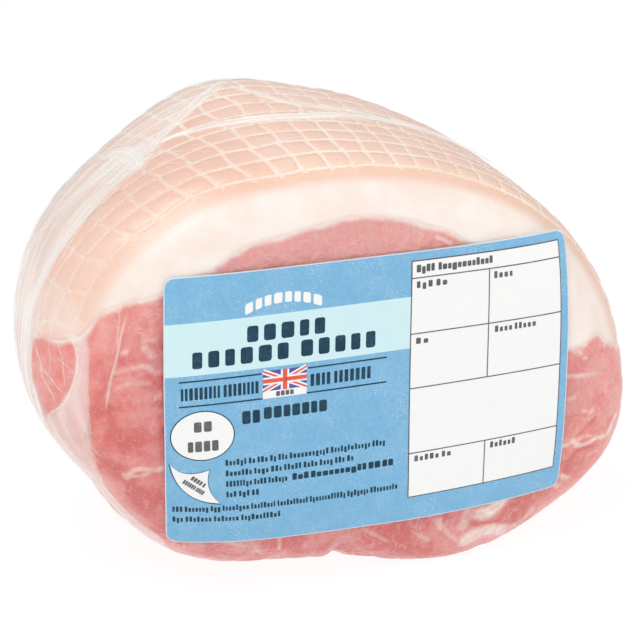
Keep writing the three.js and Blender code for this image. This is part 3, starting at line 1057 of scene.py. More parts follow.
@dataclass(frozen=True)
class Meat:
    """The joint itself, as the lean below and the fat with its rind above, cut apart along one seam."""

    front_seam: Run = ((-90, 64), (-74, 65.8), (-66, 67.6), (-61, 73), (-50, 76.6), (-39.5, 80.3),
                       (-32, 84.3), (-17, 88), (-5, 89.1), (8, 87), (22, 80), (33, 68), (43, 53), (52, 52),
                       (56, 54), (60, 50.8), (66, 47.4), (90, 45))
    back_seam: Run = ((-90, 60), (-68, 66), (-54, 82), (-36, 94), (-12, 100), (12, 95), (34, 81), (50, 63),
                      (64, 51), (90, 46))
    net_rise_on_rind: float = 0.48
    net_rise_on_lean: float = 0.25
    side_inset: float = 0.5
    columns: int = 560
    face_rows: int = 72
    rim_rows: int = 30
    side_rows: int = 74
    back_rows: int = 20
    floor_gap: float = 0.25
    lobe: Pair = (9.0, 0.7)
    side: Pair = (0.8, 0.1)
    lump: float = 13.0
    knob: float = 4.5
    grooves: tuple[Groove, ...] = (
        Groove(((-56, -30, 76), (-58.3, -31, 66), (-60, -30, 58), (-62, -29, 46)), 4.0, 1.0),
        Groove(((-6.5, -31, 8), (-4, -8, 0)), 4.5, 2.2),
        Groove(((24, -32, 12), (30, -26, 5)), 6.0, 2.4),
        Groove(((57, -29, 42), (63, -20, 24)), 5.0, 1.4),
        Groove(((46, -33, 57), (60, -27, 54)), 3.0, 0.6),
        Groove(((25, -33, 9.9), (30, -32.5, 9.3), (33, -32.6, 10.9), (34, -33, 13.6)), 1.6, 0.7),
        Groove(((51.2, -33, 23.6), (53.7, -32.6, 24.6), (57.5, -31.5, 24.8)), 1.6, 0.8),
        Groove(((57.1, -32.5, 32.3), (55.1, -32.9, 30.7), (51.9, -33.2, 28.5)), 1.5, 0.5),
    )
    streaks: tuple[Streak, ...] = (
        Streak(((-59.2, 59.7), (-56.1, 60.4), (-53.5, 61), (-50.9, 59.1)), 0.5, 0.4),
        Streak(((-59.5, 56), (-56, 57.2), (-52.5, 57)), 0.5, 0.25),
        Streak(((-57.6, 63.9), (-57, 64.2)), 0.55, 0.7),
        Streak(((-53.2, 64.9), (-52.3, 64.3), (-51.8, 63)), 0.7, 0.45),
        Streak(((-53.5, 66.4), (-51.2, 66.6)), 0.45, 0.35),
        Streak(((-51.2, 53.4), (-50.2, 54.2)), 0.45, 0.5),
        Streak(((-57.1, 33.6), (-56.5, 35.1), (-54.8, 36.1), (-51.1, 35.9), (-48, 36.2)), 0.6, 0.6),
        Streak(((-57.8, 34.6), (-55.2, 34.2), (-52.6, 34.9)), 0.45, 0.5),
        Streak(((47.8, 44.7), (49.6, 44.3), (52.5, 44.1), (56.1, 43.7)), 0.5, 0.5),
        # These two short dashes are painted glints, not marbling.
        Streak(((51, 50), (51.8, 49.8)), 0.4, 0.7),
        Streak(((52.5, 48.5), (53.2, 48.2)), 0.4, 0.7),
        Streak(((49.2, 51), (50.2, 50.4), (52, 51)), 0.35, 0.5),
        Streak(((50.4, 27.8), (52.9, 25.6), (55.6, 26), (57.7, 26.6), (60.1, 26.5), (61.6, 26.8),
                (62.9, 29.1), (64, 31)), 0.55, 0.85),
        Streak(((52.2, 27.4), (54.2, 28), (56.2, 27.4)), 0.45, 0.45),
        Streak(((47.1, 26.8), (49.2, 26.8)), 0.5, 0.7),
        Streak(((48.1, 18.7), (50.6, 17.3)), 0.6, 0.6),
        Streak(((46.2, 17), (48, 15.6)), 0.5, 0.6),
        Streak(((53, 34.8), (56.2, 34.3)), 0.45, 0.5),
        Streak(((48.5, 38.6), (50.6, 38.9)), 0.4, 0.4),
        Streak(((55.6, 22.4), (58.6, 22.9)), 0.4, 0.35),
        Streak(((34.2, 5), (39.6, 7.2), (41.6, 10.3)), 0.9, 0.4),
        Streak(((24.2, 5.4), (28, 6.2), (31, 6.7), (34, 5.6)), 1.9, 0.9),
        Streak(((27.4, 12.2), (28.9, 12.6), (31, 13.8), (32, 15)), 1.8, 1.0),
        Streak(((22.8, 9.5), (24.6, 12.9)), 1.3, 0.5),
        Streak(((-23.1, 15.2), (-22.4, 10.8)), 0.4, 0.5),
        Streak(((-28.3, 12.5), (-27.5, 11)), 0.45, 0.4),
        Streak(((-36, 15.6), (-31, 13.2)), 0.4, 0.3),
        Streak(((-2.8, 13.6), (3.7, 8.8)), 0.5, 0.3),
        Streak(((15.1, 12.9), (18.5, 9), (22.5, 5)), 0.6, 0.35),
        Streak(((16.5, 13.2), (16.6, 10.3)), 0.4, 0.55),
        Streak(((10, 10.5), (14, 7.5)), 0.5, 0.25),
        Streak(((14, 82.6), (17, 80.9)), 0.5, 0.6),
        # Streaks below zero are dark. Those from (-57.2, 68), (57.1, 32.3), (51.2, 23.6), (25.2, 9.4) and
        # (32.2, 9) run along grooves and are painted shade in them. The others are darker marks of the meat.
        Streak(((-57.2, 68), (-58.6, 63), (-59.9, 58.5)), 0.6, -0.35),
        Streak(((-58.2, 62.3), (-57.9, 61.4)), 0.8, -0.7),
        Streak(((-57, 62.8), (-53, 62.6), (-49, 61)), 0.8, -0.25),
        Streak(((-63, 39.7), (-62.6, 39.1)), 0.6, -0.9),
        Streak(((-55.7, 23), (-52.5, 22), (-49.1, 20.4)), 0.6, -0.45),
        Streak(((47.4, 34.3), (50.2, 34.2), (53.9, 33.5)), 0.4, -0.55),
        Streak(((57.1, 32.3), (55.1, 30.7), (53.1, 29.3), (51.9, 28.5)), 0.5, -0.6),
        Streak(((51.2, 23.6), (53.7, 24.6), (57.1, 24.5)), 0.45, -0.9),
        Streak(((47.8, 22.1), (50.1, 22.8)), 0.6, -0.7),
        Streak(((48.5, 30.5), (51.2, 31.6)), 0.6, -0.35),
        Streak(((25.2, 9.4), (27.5, 9.3), (30.5, 9.2), (32.4, 9.6)), 0.45, -1.0),
        Streak(((32.2, 9), (33.4, 10.9), (34.8, 13), (37.3, 13.2), (39.2, 14.6), (41.9, 15.6)), 0.6, -0.9),
    )
    back_streaks: tuple[Streak, ...] = (
        Streak(((-58, 46), (-44, 50), (-30, 47), (-19, 52), (-10, 62)), 0.8, 0.5),
        Streak(((-19, 52), (-6, 46), (8, 47), (20, 41), (26, 32)), 0.7, 0.5),
        Streak(((26, 32), (31, 22), (30, 12)), 1.0, 0.6),
        Streak(((-10, 62), (-8, 72), (-13, 81)), 0.6, 0.45),
        Streak(((20, 41), (34, 45), (48, 41), (57, 44)), 0.6, 0.4),
        Streak(((-40, 22), (-30, 27), (-17, 25), (-9, 18)), 0.7, 0.45),
        Streak(((6, 70), (15, 66), (25, 67)), 0.5, 0.4),
        Streak(((-48, 63), (-40, 66), (-31, 64)), 0.5, 0.4),
        Streak(((-52, 34), (-46, 30), (-44, 24)), 0.5, 0.35),
        Streak(((4, 26), (10, 22), (13, 15)), 0.5, 0.4),
        Streak(((-57, 43.5), (-44, 47.5), (-30, 44.5), (-19, 49.5)), 1.2, -0.3),
        Streak(((-18, 49.5), (-6, 43.5), (8, 44.5), (19, 38.5), (24, 30)), 1.2, -0.3),
    )
    patches: tuple[Patch, ...] = (
        Patch(-53.3, 28.7, 4.6, 1.2), Patch(-59.2, 36.9, 3.2, 0.6), Patch(-64, 58, 8, 0.3),
        Patch(-60, 46, 8, 0.55),
        Patch(-57.5, 62, 3.5, 0.45), Patch(-49, 60, 9, 0.75, 0.8), Patch(-49, 43, 8, 0.95, 0.7),
        Patch(-50, 20, 7, 0.7, 0.2),
        Patch(50, 38, 6, 0.1, 0.8), Patch(52, 47, 5, 0.3, 0.3), Patch(56, 30, 4, 0.35),
        Patch(50, 21, 4.5, 0.5, 0.4),
        # Patch(-5, 6, ...) makes the face darker and redder towards the bottom.
        Patch(-8, 86, 28, -1.15, 0.7), Patch(-38, 80, 12, -0.5, 0.6), Patch(-5, 6, 34, 1.05, 0.8),
        Patch(36, 10, 6, 0.5, 0.2), Patch(63, 38, 7, -0.2), Patch(60, 20, 8, -0.1),
        Patch(-38, 14, 9, 0.3, 0.5),
    )

    skin_share: Pair = (0.84, 0.07)
    rind_front: Pair = (-30.0, 2.6)
    rind_back: Pair = (32.0, -3.0)
    face_depths: Pair = (-19.0, -6.0)
    back_depths: Pair = (22.0, 6.0)
    rim: Pair = (-25.6, 2.0)
    rim_from: Pair = (14.0, 14.0)
    # Angles over which the upper-left rind gets its painted shade.
    left_rind_shade_from: Pair = (108.0, 16.0)
    left_rind_shade_to: Pair = (134.0, 14.0)
    pulled_from: Pair = (135.0, 20.0)
    pulled_before: Pair = (-10.0, -8.0)

    def seam_height(self, x: Array, y: Array) -> Array:
        """Height of the seam between lean and fat, lobed where muscle bundles meet the fat."""
        height = lerp(height_at(self.front_seam, x), height_at(self.back_seam, x), FORM.depth_share(y))
        return height + fractal(np.stack([x, y, 0 * x], -1), self.lobe[0], 2) * self.lobe[1]

    def groove_depth(self, points: Array) -> Array:
        """Depth of the grooves at each point.

        Args:
            points: Points in mm, one a row.

        Returns:
            The depth at each, in mm.
        """
        deepest = np.zeros(len(points))
        for groove in self.grooves:
            gap = distance_to_run(points, smooth_run(groove.run, 3.0))
            share = 1 - np.minimum(gap / groove.width, 1) ** 2
            deepest = np.maximum(deepest, groove.depth * share**2)
        return deepest

    def surface(self) -> Piece:
        """Whole joint as one closed shell with all its relief.

        Returns:
            The shell.
        """
        theta, y, share = FORM.rows(self.columns, self.face_rows, self.rim_rows, self.side_rows,
                                    self.back_rows)
        base = FORM.point(theta, y, share)
        on_side = ramp(share, *self.side)
        fatty = ramp(base[..., 2] - self.seam_height(base[..., 0], base[..., 1]), -1.5, 3)
        lift = NET.relief(theta, y)[0] * on_side * lerp(self.net_rise_on_lean, self.net_rise_on_rind, fatty)
        lumps, knobs = 0.5 + 0.5 * fractal(base, self.lump, 2), 0.5 + 0.5 * fractal(base + 50, self.knob, 2)
        sink = lerp(0.75, 0.35, fatty) * lumps + lerp(0.35, 0.12, fatty) * knobs
        sink = lerp(sink, self.side_inset * (0.3 + 0.7 * fatty) + 0.35 * sink, on_side)
        flat = (base + ring_normals(base) * (lift - sink)[..., None]).reshape(-1, 3)
        inward = unit(flat * [0, 0.5, 0] + [0, 0, FORM.axis_height] - flat)
        flat = flat + inward * self.groove_depth(flat)[:, None]
        flat[:, 2] = np.maximum(flat[:, 2], self.floor_gap)
        return shell("joint", flat.reshape(base.shape), FORM.tips())

    def seam_block(self) -> Piece:
        """Block from below the joint up to the seam, which cuts it apart.

        Returns:
            The block.
        """
        xs, ys = np.linspace(-92, 92, 154), np.linspace(-52, 52, 44)
        x, y = np.meshgrid(xs, ys, indexing="ij")
        return slab("seam_block", np.stack([x, y, self.seam_height(x, y)], -1),
                    np.stack([x, y, 0 * x - 12], -1))

    @staticmethod
    def cut(joint: Piece, block: Piece, operation: str, name: str) -> Piece:
        """Part of the joint inside or outside the block.

        Args:
            joint: The whole joint.
            block: The block.
            operation: The cut, which is INTERSECT or DIFFERENCE.
            name: The part's name.

        Returns:
            The part, as a plain mesh.
        """
        part = linked(name, joint.data.copy())
        modifier = part.modifiers.new("cut", "BOOLEAN")
        modifier.object = block
        modifier.operation = operation
        modifier.solver = "MANIFOLD"
        result = evaluated(part, name)
        result.data.shade_smooth()
        result.data.set_sharp_from_angle(angle=math.radians(60))
        result.data.materials.clear()
        return result

    def mark(self, part: Piece) -> None:
        """Gives a part's points the values that the finishes read.

        Args:
            part: The lean, or the fat with its rind.
        """
        points = points_of(part)
        x, y, z = points.T
        theta = np.arctan2(z - FORM.axis_height, x)
        angle = np.mod(np.degrees(theta) + 90, 360) - 90
        on_side = ramp(np.hypot(x, z - FORM.axis_height) / FORM.section_radius(theta, y), *self.skin_share)
        slope = self.seam_height(x + 0.5, y) - self.seam_height(x - 0.5, y)
        rise, hoop_shade = NET.relief(theta, y)
        plain = 1 - 0.8 * ramp(angle, *self.pulled_from) * ramp(y, *self.pulled_before)
        rim = np.exp(-(((y - self.rim[0]) / self.rim[1]) ** 2)) * ramp(angle, *self.rim_from)
        pale, dark, red, rose = np.zeros((4, len(points)))
        on_face = ramp(y, *self.face_depths)
        for streaks, there in ((self.streaks, on_face), (self.back_streaks, ramp(y, *self.back_depths))):
            for streak in streaks:
                gap = distance_to_run(points[:, ::2], smooth_run(streak.run, 1.0))
                near = smooth(1.5 - gap / streak.width) * there
                pale = np.maximum(pale, streak.strength * near)
                dark = np.maximum(dark, -streak.strength * near)
        for patch in self.patches:
            near = np.exp(-((np.hypot(x - patch.x, z - patch.z) / patch.reach) ** 2)) * on_face
            red += patch.red * near
            rose += patch.rose * near
        # Among these values, the rind's shade in front of each hoop and its upper-left tint are painted
        # shade. The streak values hold painted shade along some grooves and two painted glints, besides the
        # meat's own marks.
        for name, values in {
            "seam": np.abs(self.seam_height(x, y) - z) / np.hypot(1, slope),
            "rind": ramp(y, *self.rind_front) * ramp(y, *self.rind_back) * on_side,
            "pillow": np.clip(rise, 0, 1), "hoop_shade": hoop_shade * on_side * plain, "rim": rim * on_side * plain,
            "left_rind_shade": 0.5 * ramp(angle, *self.left_rind_shade_from) * (1 - 0.6 * ramp(angle, *self.left_rind_shade_to)),
            "marbling_and_glints": pale, "dark": dark, "red": red, "rose": np.clip(rose, 0, 1),
        }.items():
            add_value(part, name, values)

    def build(self) -> None:
        """Makes the lean and the fat with its rind, each in its finish."""
        joint, block = self.surface(), self.seam_block()
        for operation, name, slot, node, finish in (
            ("INTERSECT", "lean", "lean", "lean_meat", LeanFinish()),
            ("DIFFERENCE", "fat_with_rind", "fat", "fat_and_rind", FatFinish()),
        ):
            part = self.cut(joint, block, operation, name)
            self.mark(part)
            place_on_model(part, finish.material(), slot, node)
        bpy.data.objects.remove(joint)
        bpy.data.objects.remove(block)


# ---- threads


@dataclass(frozen=True)
class Line:
    """Line that a thread follows: its points in mm from the axis, and which way is outward at each."""

    points: Array
    outward: Array
    width: Array | float = 1.0
    show: Array | float = 1.0
    closed: bool = False


def shown(line: Line, least: float = 0.04) -> list[Line]:
    """Stretches of a line where its thread shows.

    Args:
        line: The whole line.
        least: How little show hides the thread.

    Returns:
        The stretches, as lines of their own.
    """
    seen = line.show + 0 * line.points[:, 0] > least
    if seen.all():
        return [line]
    start = int(np.argmin(seen)) if line.closed else 0
    order = np.roll(np.arange(len(seen)), -start)
    stretches = np.split(order, np.flatnonzero(np.diff(seen[order].astype(int))) + 1)
    return [Line(line.points[part], line.outward[part], (line.width + 0 * seen)[part], line.show[part])
            for part in stretches if seen[part[0]] and len(part) > 2]


class ThreadSweep:
    """Sweeps threads along lines on the joint's side, by one Geometry Nodes tree."""

    SIDES = 10
    FLOOR_GAP = 0.9  # the least height of their middles, in mm

    def __init__(self) -> None:
        """Makes the tree and finds its inputs."""
        self.tree = self._tree()
        self.sockets = {item.name: item.identifier for item in self.tree.interface.items_tree
                        if item.in_out == "INPUT"}

    @staticmethod
    def _tree() -> bpy.types.NodeTree:
        """Tree that sweeps a flattened round thread along bare edges.

        Returns:
            The tree, with the inputs Radius, Flatness, Sides, Unevenness, Seed and Finish. The edges' points
            carry the values outward, width and show.
        """
        tree = bpy.data.node_groups.new("thread sweep", "GeometryNodeTree")
        sockets = (("Geometry", "INPUT", "NodeSocketGeometry"), ("Radius", "INPUT", "NodeSocketFloat"),
                   ("Flatness", "INPUT", "NodeSocketFloat"), ("Sides", "INPUT", "NodeSocketInt"),
                   ("Unevenness", "INPUT", "NodeSocketFloat"), ("Seed", "INPUT", "NodeSocketInt"),
                   ("Finish", "INPUT", "NodeSocketMaterial"), ("Geometry", "OUTPUT", "NodeSocketGeometry"))
        for name, way, kind in sockets:
            tree.interface.new_socket(name, in_out=way, socket_type=kind)
        layout = Layout(tree)
        start, end = layout.node("NodeGroupInput").outputs, layout.node("NodeGroupOutput").inputs

        def carried(name: str, kind: str) -> Socket:
            """Value that the edges' points carry."""
            return layout.node("GeometryNodeInputNamedAttribute", {"Name": name},
                               data_type=kind).outputs["Attribute"]

        curve = layout.node("GeometryNodeMeshToCurve", {"Mesh": start["Geometry"]}).outputs["Curve"]
        turned = layout.node("GeometryNodeSetCurveNormal", {
            "Curve": curve, "Normal": carried("outward", "FLOAT_VECTOR")}, mode="FREE").outputs["Curve"]
        uneven = layout.node("ShaderNodeTexNoise", {
            "Vector": layout.node("GeometryNodeInputPosition").outputs[0], "W": start["Seed"],
            "Scale": 1 / (2.5 * MM)}, noise_dimensions="4D").outputs["Fac"]
        swell = layout.plus(1.0, layout.times(start["Unevenness"], layout.minus(uneven, 0.5)))
        section = layout.node("GeometryNodeCurvePrimitiveCircle", {
            "Resolution": start["Sides"], "Radius": start["Radius"]}).outputs["Curve"]
        pressed = layout.node("ShaderNodeCombineXYZ",
                              {0: start["Flatness"], 1: 1.0, 2: 1.0}).outputs["Vector"]
        flat = layout.node("GeometryNodeTransform", {"Geometry": section,
                                                     "Scale": pressed}).outputs["Geometry"]
        sweep = layout.node("GeometryNodeCurveToMesh", {
            "Curve": turned, "Profile Curve": flat, "Scale": layout.times(carried("width", "FLOAT"), swell),
            "Fill Caps": True}).outputs["Mesh"]
        plain = layout.node("GeometryNodeRealizeInstances", {"Geometry": sweep}).outputs["Geometry"]
        dress = layout.node("GeometryNodeSetMaterial", {"Geometry": plain, "Material": start["Finish"]})
        layout.feed(end["Geometry"], dress.outputs["Geometry"])
        return tree

    def _edges(self, name: str, lines: Sequence[Line], lift: float) -> Piece:
        """Mesh of bare edges along some lines, with what the tree reads.

        Args:
            name: What its name starts with.
            lines: The lines.
            lift: How far it stands off the joint's form, in mm.

        Returns:
            The new object.
        """
        edges, first = [], 0
        for line in lines:
            count = len(line.points)
            edges += [(first + i, first + i + 1) for i in range(count - 1)]
            edges += [(first + count - 1, first)] if line.closed else []
            first += count
        outward = np.concatenate([line.outward for line in lines])
        points = np.concatenate([line.points for line in lines]) + outward * lift
        points[:, 2] = np.maximum(points[:, 2], self.FLOOR_GAP)
        thing = new_object(name + "_lines", points, [], edges)
        add_value(thing, "outward", outward)
        for value in ("width", "show"):
            add_value(thing, value, np.concatenate(
                [getattr(line, value) + 0 * line.points[:, 0] for line in lines]))
        return thing

    def sweep(self, name: str, slot: str, lines: Sequence[Line], material: bpy.types.Material, radius: float,
              lift: float, flatness: float, unevenness: float = 0.6) -> None:
        """Makes threads along some lines, as one plain piece.

        Args:
            name: The piece's name.
            slot: The piece's slot.
            lines: What the threads follow.
            material: Their material.
            radius: The radius of a thread whose width is 1, in mm.
            lift: How far the threads' middles stand off the joint's form, in mm.
            flatness: Their thickness as a share of their width.
            unevenness: How much their width varies.
        """
        edges = self._edges(name, lines, lift)
        modifier = edges.modifiers.new("sweep", "NODES")
        modifier.node_group = self.tree
        for label, value in (("Radius", radius * MM), ("Flatness", flatness), ("Sides", self.SIDES),
                             ("Unevenness", unevenness), ("Seed", len(name)), ("Finish", material)):
            modifier[self.sockets[label]] = value
        threads = evaluated(edges, name)
        threads.data.shade_smooth()
        place_on_model(threads, None, slot)


SWEEP = ThreadSweep()


# ---- the film


SIDE_SCALE = np.array([1.05, 1.0])  # mm round the side for each degree, and mm along it for each mm of depth


@dataclass(frozen=True)
class Veil:
    """Stretch of loose, whitish film: its outline in (angle, depth), its margin and its strength.

    Its margin is softer further back, by a share that grows to the first value of softer at the depth of the
    second.
    """

    outline: Run
    margin: float
    strength: float
    softer: Pair = (3.0, 10.0)

    def haze(self, places: Array, ragged: Array) -> Array:
        """How whitish the film is.

        Args:
            places: Places in mm round and along the side, one a row.
            ragged: How far the margin shifts at each place, from about -1 to 1.

        Returns:
            The haze at each place.
        """
        corners = smooth_run(self.outline + self.outline[:1], 2.0) * SIDE_SCALE
        gap = distance_to_run(places, corners)
        inside = np.zeros(len(places), bool)
        for (x0, y0), (x1, y1) in zip(corners, np.roll(corners, -1, axis=0)):
            crosses = (y0 > places[:, 1]) != (y1 > places[:, 1])
            rise = y1 - y0 if y1 != y0 else 1.0
            inside ^= crosses & (places[:, 0] < x0 + (x1 - x0) * (places[:, 1] - y0) / rise)
        signed = np.where(inside, gap, -gap)
        margin = self.margin * (1 + self.softer[0] * ramp(places[:, 1], 0, self.softer[1]))
        return self.strength * smooth(0.5 + (signed + ragged * margin) / (2 * margin))


@dataclass(frozen=True)
class Crease:
    """Fine bright line in the film: a run of (angle, depth), its width beside the finest, and its strength.

    On the cut face its run is of (x, z).
    """

    run: Run
    width: float = 1.0
    strength: float = 0.8
    on_face: bool = False


@dataclass(frozen=True)
class Pleat:
    """Fold of spare film: a run of (angle, depth), its width and height, its crests and its strength."""

    run: Run
    width: float
    height: float
    crests: int = 3
    strength: float = 0.8


@dataclass(frozen=True)
class FilmSkin:
    """Tight clear film over the whole joint, whitish where it has come loose, with fine creases on it."""

    columns: int = 460
    face_rows: int = 20
    rim_rows: int = 26
    side_rows: int = 110
    back_rows: int = 16
    stand_on_face: float = 0.2
    stand_on_net: float = 0.05
    stand_loose: float = 0.05
    streak: Pair = (20.0, 2.4)
    streak_fall: float = 0.25
    streak_from: float = 134.0
    streak_turn: float = 35.0
    side: Pair = (0.8, 0.1)
    ragged: float = 9.0
    crease_radius: float = 0.2
    crease_lift: float = 0.1
    crease_flatness: float = 0.35
    veils: tuple[Veil, ...] = (
        Veil(((166, -25), (167.5, -27.1), (170.8, -27.8), (175.8, -27), (180.2, -23.9), (183.2, -18.7),
              (190, -12), (205, -10), (222, -16), (217, -22.7), (210, -21.2), (204, -20.4), (199, -22),
              (192.2, -25.4), (187.2, -27), (183.2, -28.2), (177.8, -28.9), (170.5, -28.9), (165.8, -28.3)),
             0.5, 0.54),
        Veil(((134, -8), (142, -12), (149, -14), (157, -15), (165, -14.6), (171.5, -16.1), (176, -16),
              (180.2, -18.4), (186, -16), (196, -4), (192, 9), (176, 17), (160, 14), (146, 19), (138, 8)),
             1.6, 0.57),
        Veil(((160, -12.9), (165.5, -12.9), (168, -14.6), (171.5, -16.1), (176, -16), (180.2, -18.4),
              (186, -16), (188, -8), (180, -6), (170, -7), (162, -8)), 0.7, 0.78),
        Veil(((133, -8), (125.7, -1.9), (119.3, 2.5), (113.8, 6.4), (108, 12), (104, 24), (120, 24),
              (142, 14), (146, 2), (138, -4)), 1.2, 0.42),
        Veil(((128, -5), (132, 2), (138, 4), (143, -2), (141, -9), (136, -12), (132, -10)), 1.6, 0.75),
        Veil(((109.8, 10), (103, 1), (92, -3.4), (78, -4), (70, 2), (84, 10), (100, 16)), 2.0, 0.12),
        Veil(((160, -26), (158, -20), (163, -13), (168, -15), (166, -22), (166, -27)), 1.5, 0.3),
    )
    creases: tuple[Crease, ...] = (
        Crease(((165, -23.5), (166, -25), (166.5, -26.1), (167.5, -27.1), (169.2, -27.6), (170.8, -27.8),
                (173.2, -27.6), (175.8, -27), (178.5, -25.7), (180.2, -23.9), (183.2, -18.7)), 1.5, 0.6),
        Crease(((163, -27.8), (165.8, -28.3), (170.5, -28.9), (177.8, -28.9), (183.2, -28.3), (187.2, -27.1),
                (192.2, -25.5), (199, -22.1)), 2.6, 0.25),
        Crease(((168, -14.6), (171.5, -16.1), (176, -16), (178.8, -16.1), (180.2, -18.4)), 1.5, 0.7),
        Crease(((167.5, -23.6), (170.2, -25.4), (172.5, -25.8), (176, -26.2)), 0.9, 0.4),
        Crease(((170, -23.3), (170.8, -25.2), (172, -26.9), (172.8, -27.5)), 0.8, 0.35),
        Crease(((172.5, -19.5), (173.8, -21.6), (174.8, -23.6), (176, -24.6), (177, -25.7)), 0.9, 0.45),
        Crease(((169.8, -16.2), (172.2, -20), (174.8, -20.8), (177.2, -23), (179.5, -23.7)), 0.9, 0.45),
        Crease(((167.5, -22), (171.5, -22.9), (174.5, -23.2)), 0.8, 0.3),
        Crease(((136, 7.4), (134.2, 4.9), (133, 1), (132.4, -3.2), (133, -7.6), (134.8, -10.8)), 1.5, 0.5),
        Crease(((139, 5.9), (137.2, 3.4), (136.4, 0), (136.3, -3.5)), 1.2, 0.4),
        Crease(((134.5, -10.9), (139.5, -12.5), (145.2, -13.9), (150, -15.1), (154.5, -16.2), (158, -16.6)),
               1.1, 0.5),
        Crease(((134, -9), (138.2, -9.9), (143.5, -10.5), (148, -11.3), (153, -12.7), (157.5, -13.6),
                (165.5, -13.4)), 1.4, 0.7),
        Crease(((137, -5), (140.8, -5.8), (144.8, -7.6), (148.3, -9.6), (151.5, -11), (154.2, -12.4)), 1.2,
               0.6),
        Crease(((149, -9), (152.2, -10.4), (155.5, -12), (159.8, -12.6), (163.8, -12.3), (169.5, -12.3)), 1.3,
               0.6),
        Crease(((148.5, -7.9), (152.2, -9.2), (157.3, -10.4), (161, -11.4), (165.5, -11.2)), 1.0, 0.5),
        Crease(((131, -9.6), (127, -12), (122, -14.6)), 1.0, 0.45),
        Crease(((133, -11), (131, -14), (128, -17), (124, -20)), 1.0, 0.4),
        Crease(((110, 10.5), (104, 3.5), (100, 0.5)), 1.0, 0.45),
        Crease(((109, 13), (100, 9), (92, 4)), 0.8, 0.3),
        Crease(((-56, 74.6), (-56.9, 71.8), (-58.3, 67.2), (-59.3, 62.9), (-60.6, 58.5), (-61.4, 54.8),
                (-62, 50)), 1.7, 0.42, True),
        Crease(((-57.9, 75), (-58.1, 72), (-58.6, 69), (-59.2, 65.5)), 1.2, 0.3, True),
        Crease(((-65.6, 49), (-65, 44), (-63.4, 40.4), (-61.4, 38.8)), 1.6, 0.25, True),
    )

    def haze(self, theta: Array, y: Array) -> Array:
        """How whitish the film is at angles in degrees and depths.

        Args:
            theta: Angles in degrees.
            y: Depths in mm.

        Returns:
            The haze at each.
        """
        places = np.stack([theta, y], -1) * SIDE_SCALE
        ragged = fractal(np.stack([*places.T, 0 * y], -1), self.ragged)
        return np.max([veil.haze(places, ragged) for veil in self.veils], axis=0)

    def build(self) -> None:
        """Makes the film as one closed surface just outside the meat, and its creases."""
        theta, y, share = FORM.rows(self.columns, self.face_rows, self.rim_rows, self.side_rows,
                                    self.back_rows)
        base = FORM.point(theta, y, share)
        on_side = ramp(share, *self.side)
        angle, depth = np.degrees(theta).ravel(), y.ravel()
        haze = self.haze(angle, depth) * on_side.ravel()
        stand = lerp(self.stand_on_face, self.stand_on_net, on_side)
        stand += self.stand_loose * haze.reshape(y.shape)
        rings = base + ring_normals(base) * stand[..., None]
        rings[..., 2] = np.maximum(rings[..., 2], 0.0)
        off = np.array([0, self.stand_on_face, 0])
        film = shell("film_skin", rings, (FORM.tips()[0] - off, FORM.tips()[1] + off))
        add_value(film, "haze", np.concatenate([haze, [0, 0]]))
        fall = self.streak_fall * np.clip(angle - self.streak_from, 0, self.streak_turn)
        flow = np.stack([angle / self.streak[0], (depth + fall) / self.streak[1], 0 * angle], -1)
        add_value(film, "flow", np.concatenate([flow, np.zeros((2, 3))]))
        place_on_model(film, FilmFinish().material(), "film")
        self.build_creases()

    def build_creases(self) -> None:
        """Makes the fine bright creases, thin at both ends."""
        lines = []
        for crease in self.creases:
            run = smooth_run(crease.run, 0.8)
            t = np.linspace(0, 1, len(run))
            ends = smooth(np.minimum(t, 1 - t) * 5)
            place = (FORM.face_point(*run.T) if crease.on_face
                     else FORM.side_point(np.radians(run[:, 0]), run[:, 1]))
            lines.append(Line(*place, crease.width * lerp(0.4, 1, ends), crease.strength * ends))
        finish = ThreadFinish("creased film", linear(250, 246, 240), linear(242, 234, 226), 1.0, 0.3)
        SWEEP.sweep("film_creases", "film", lines, finish.material(), self.crease_radius, self.crease_lift,
                    self.crease_flatness, 0.8)


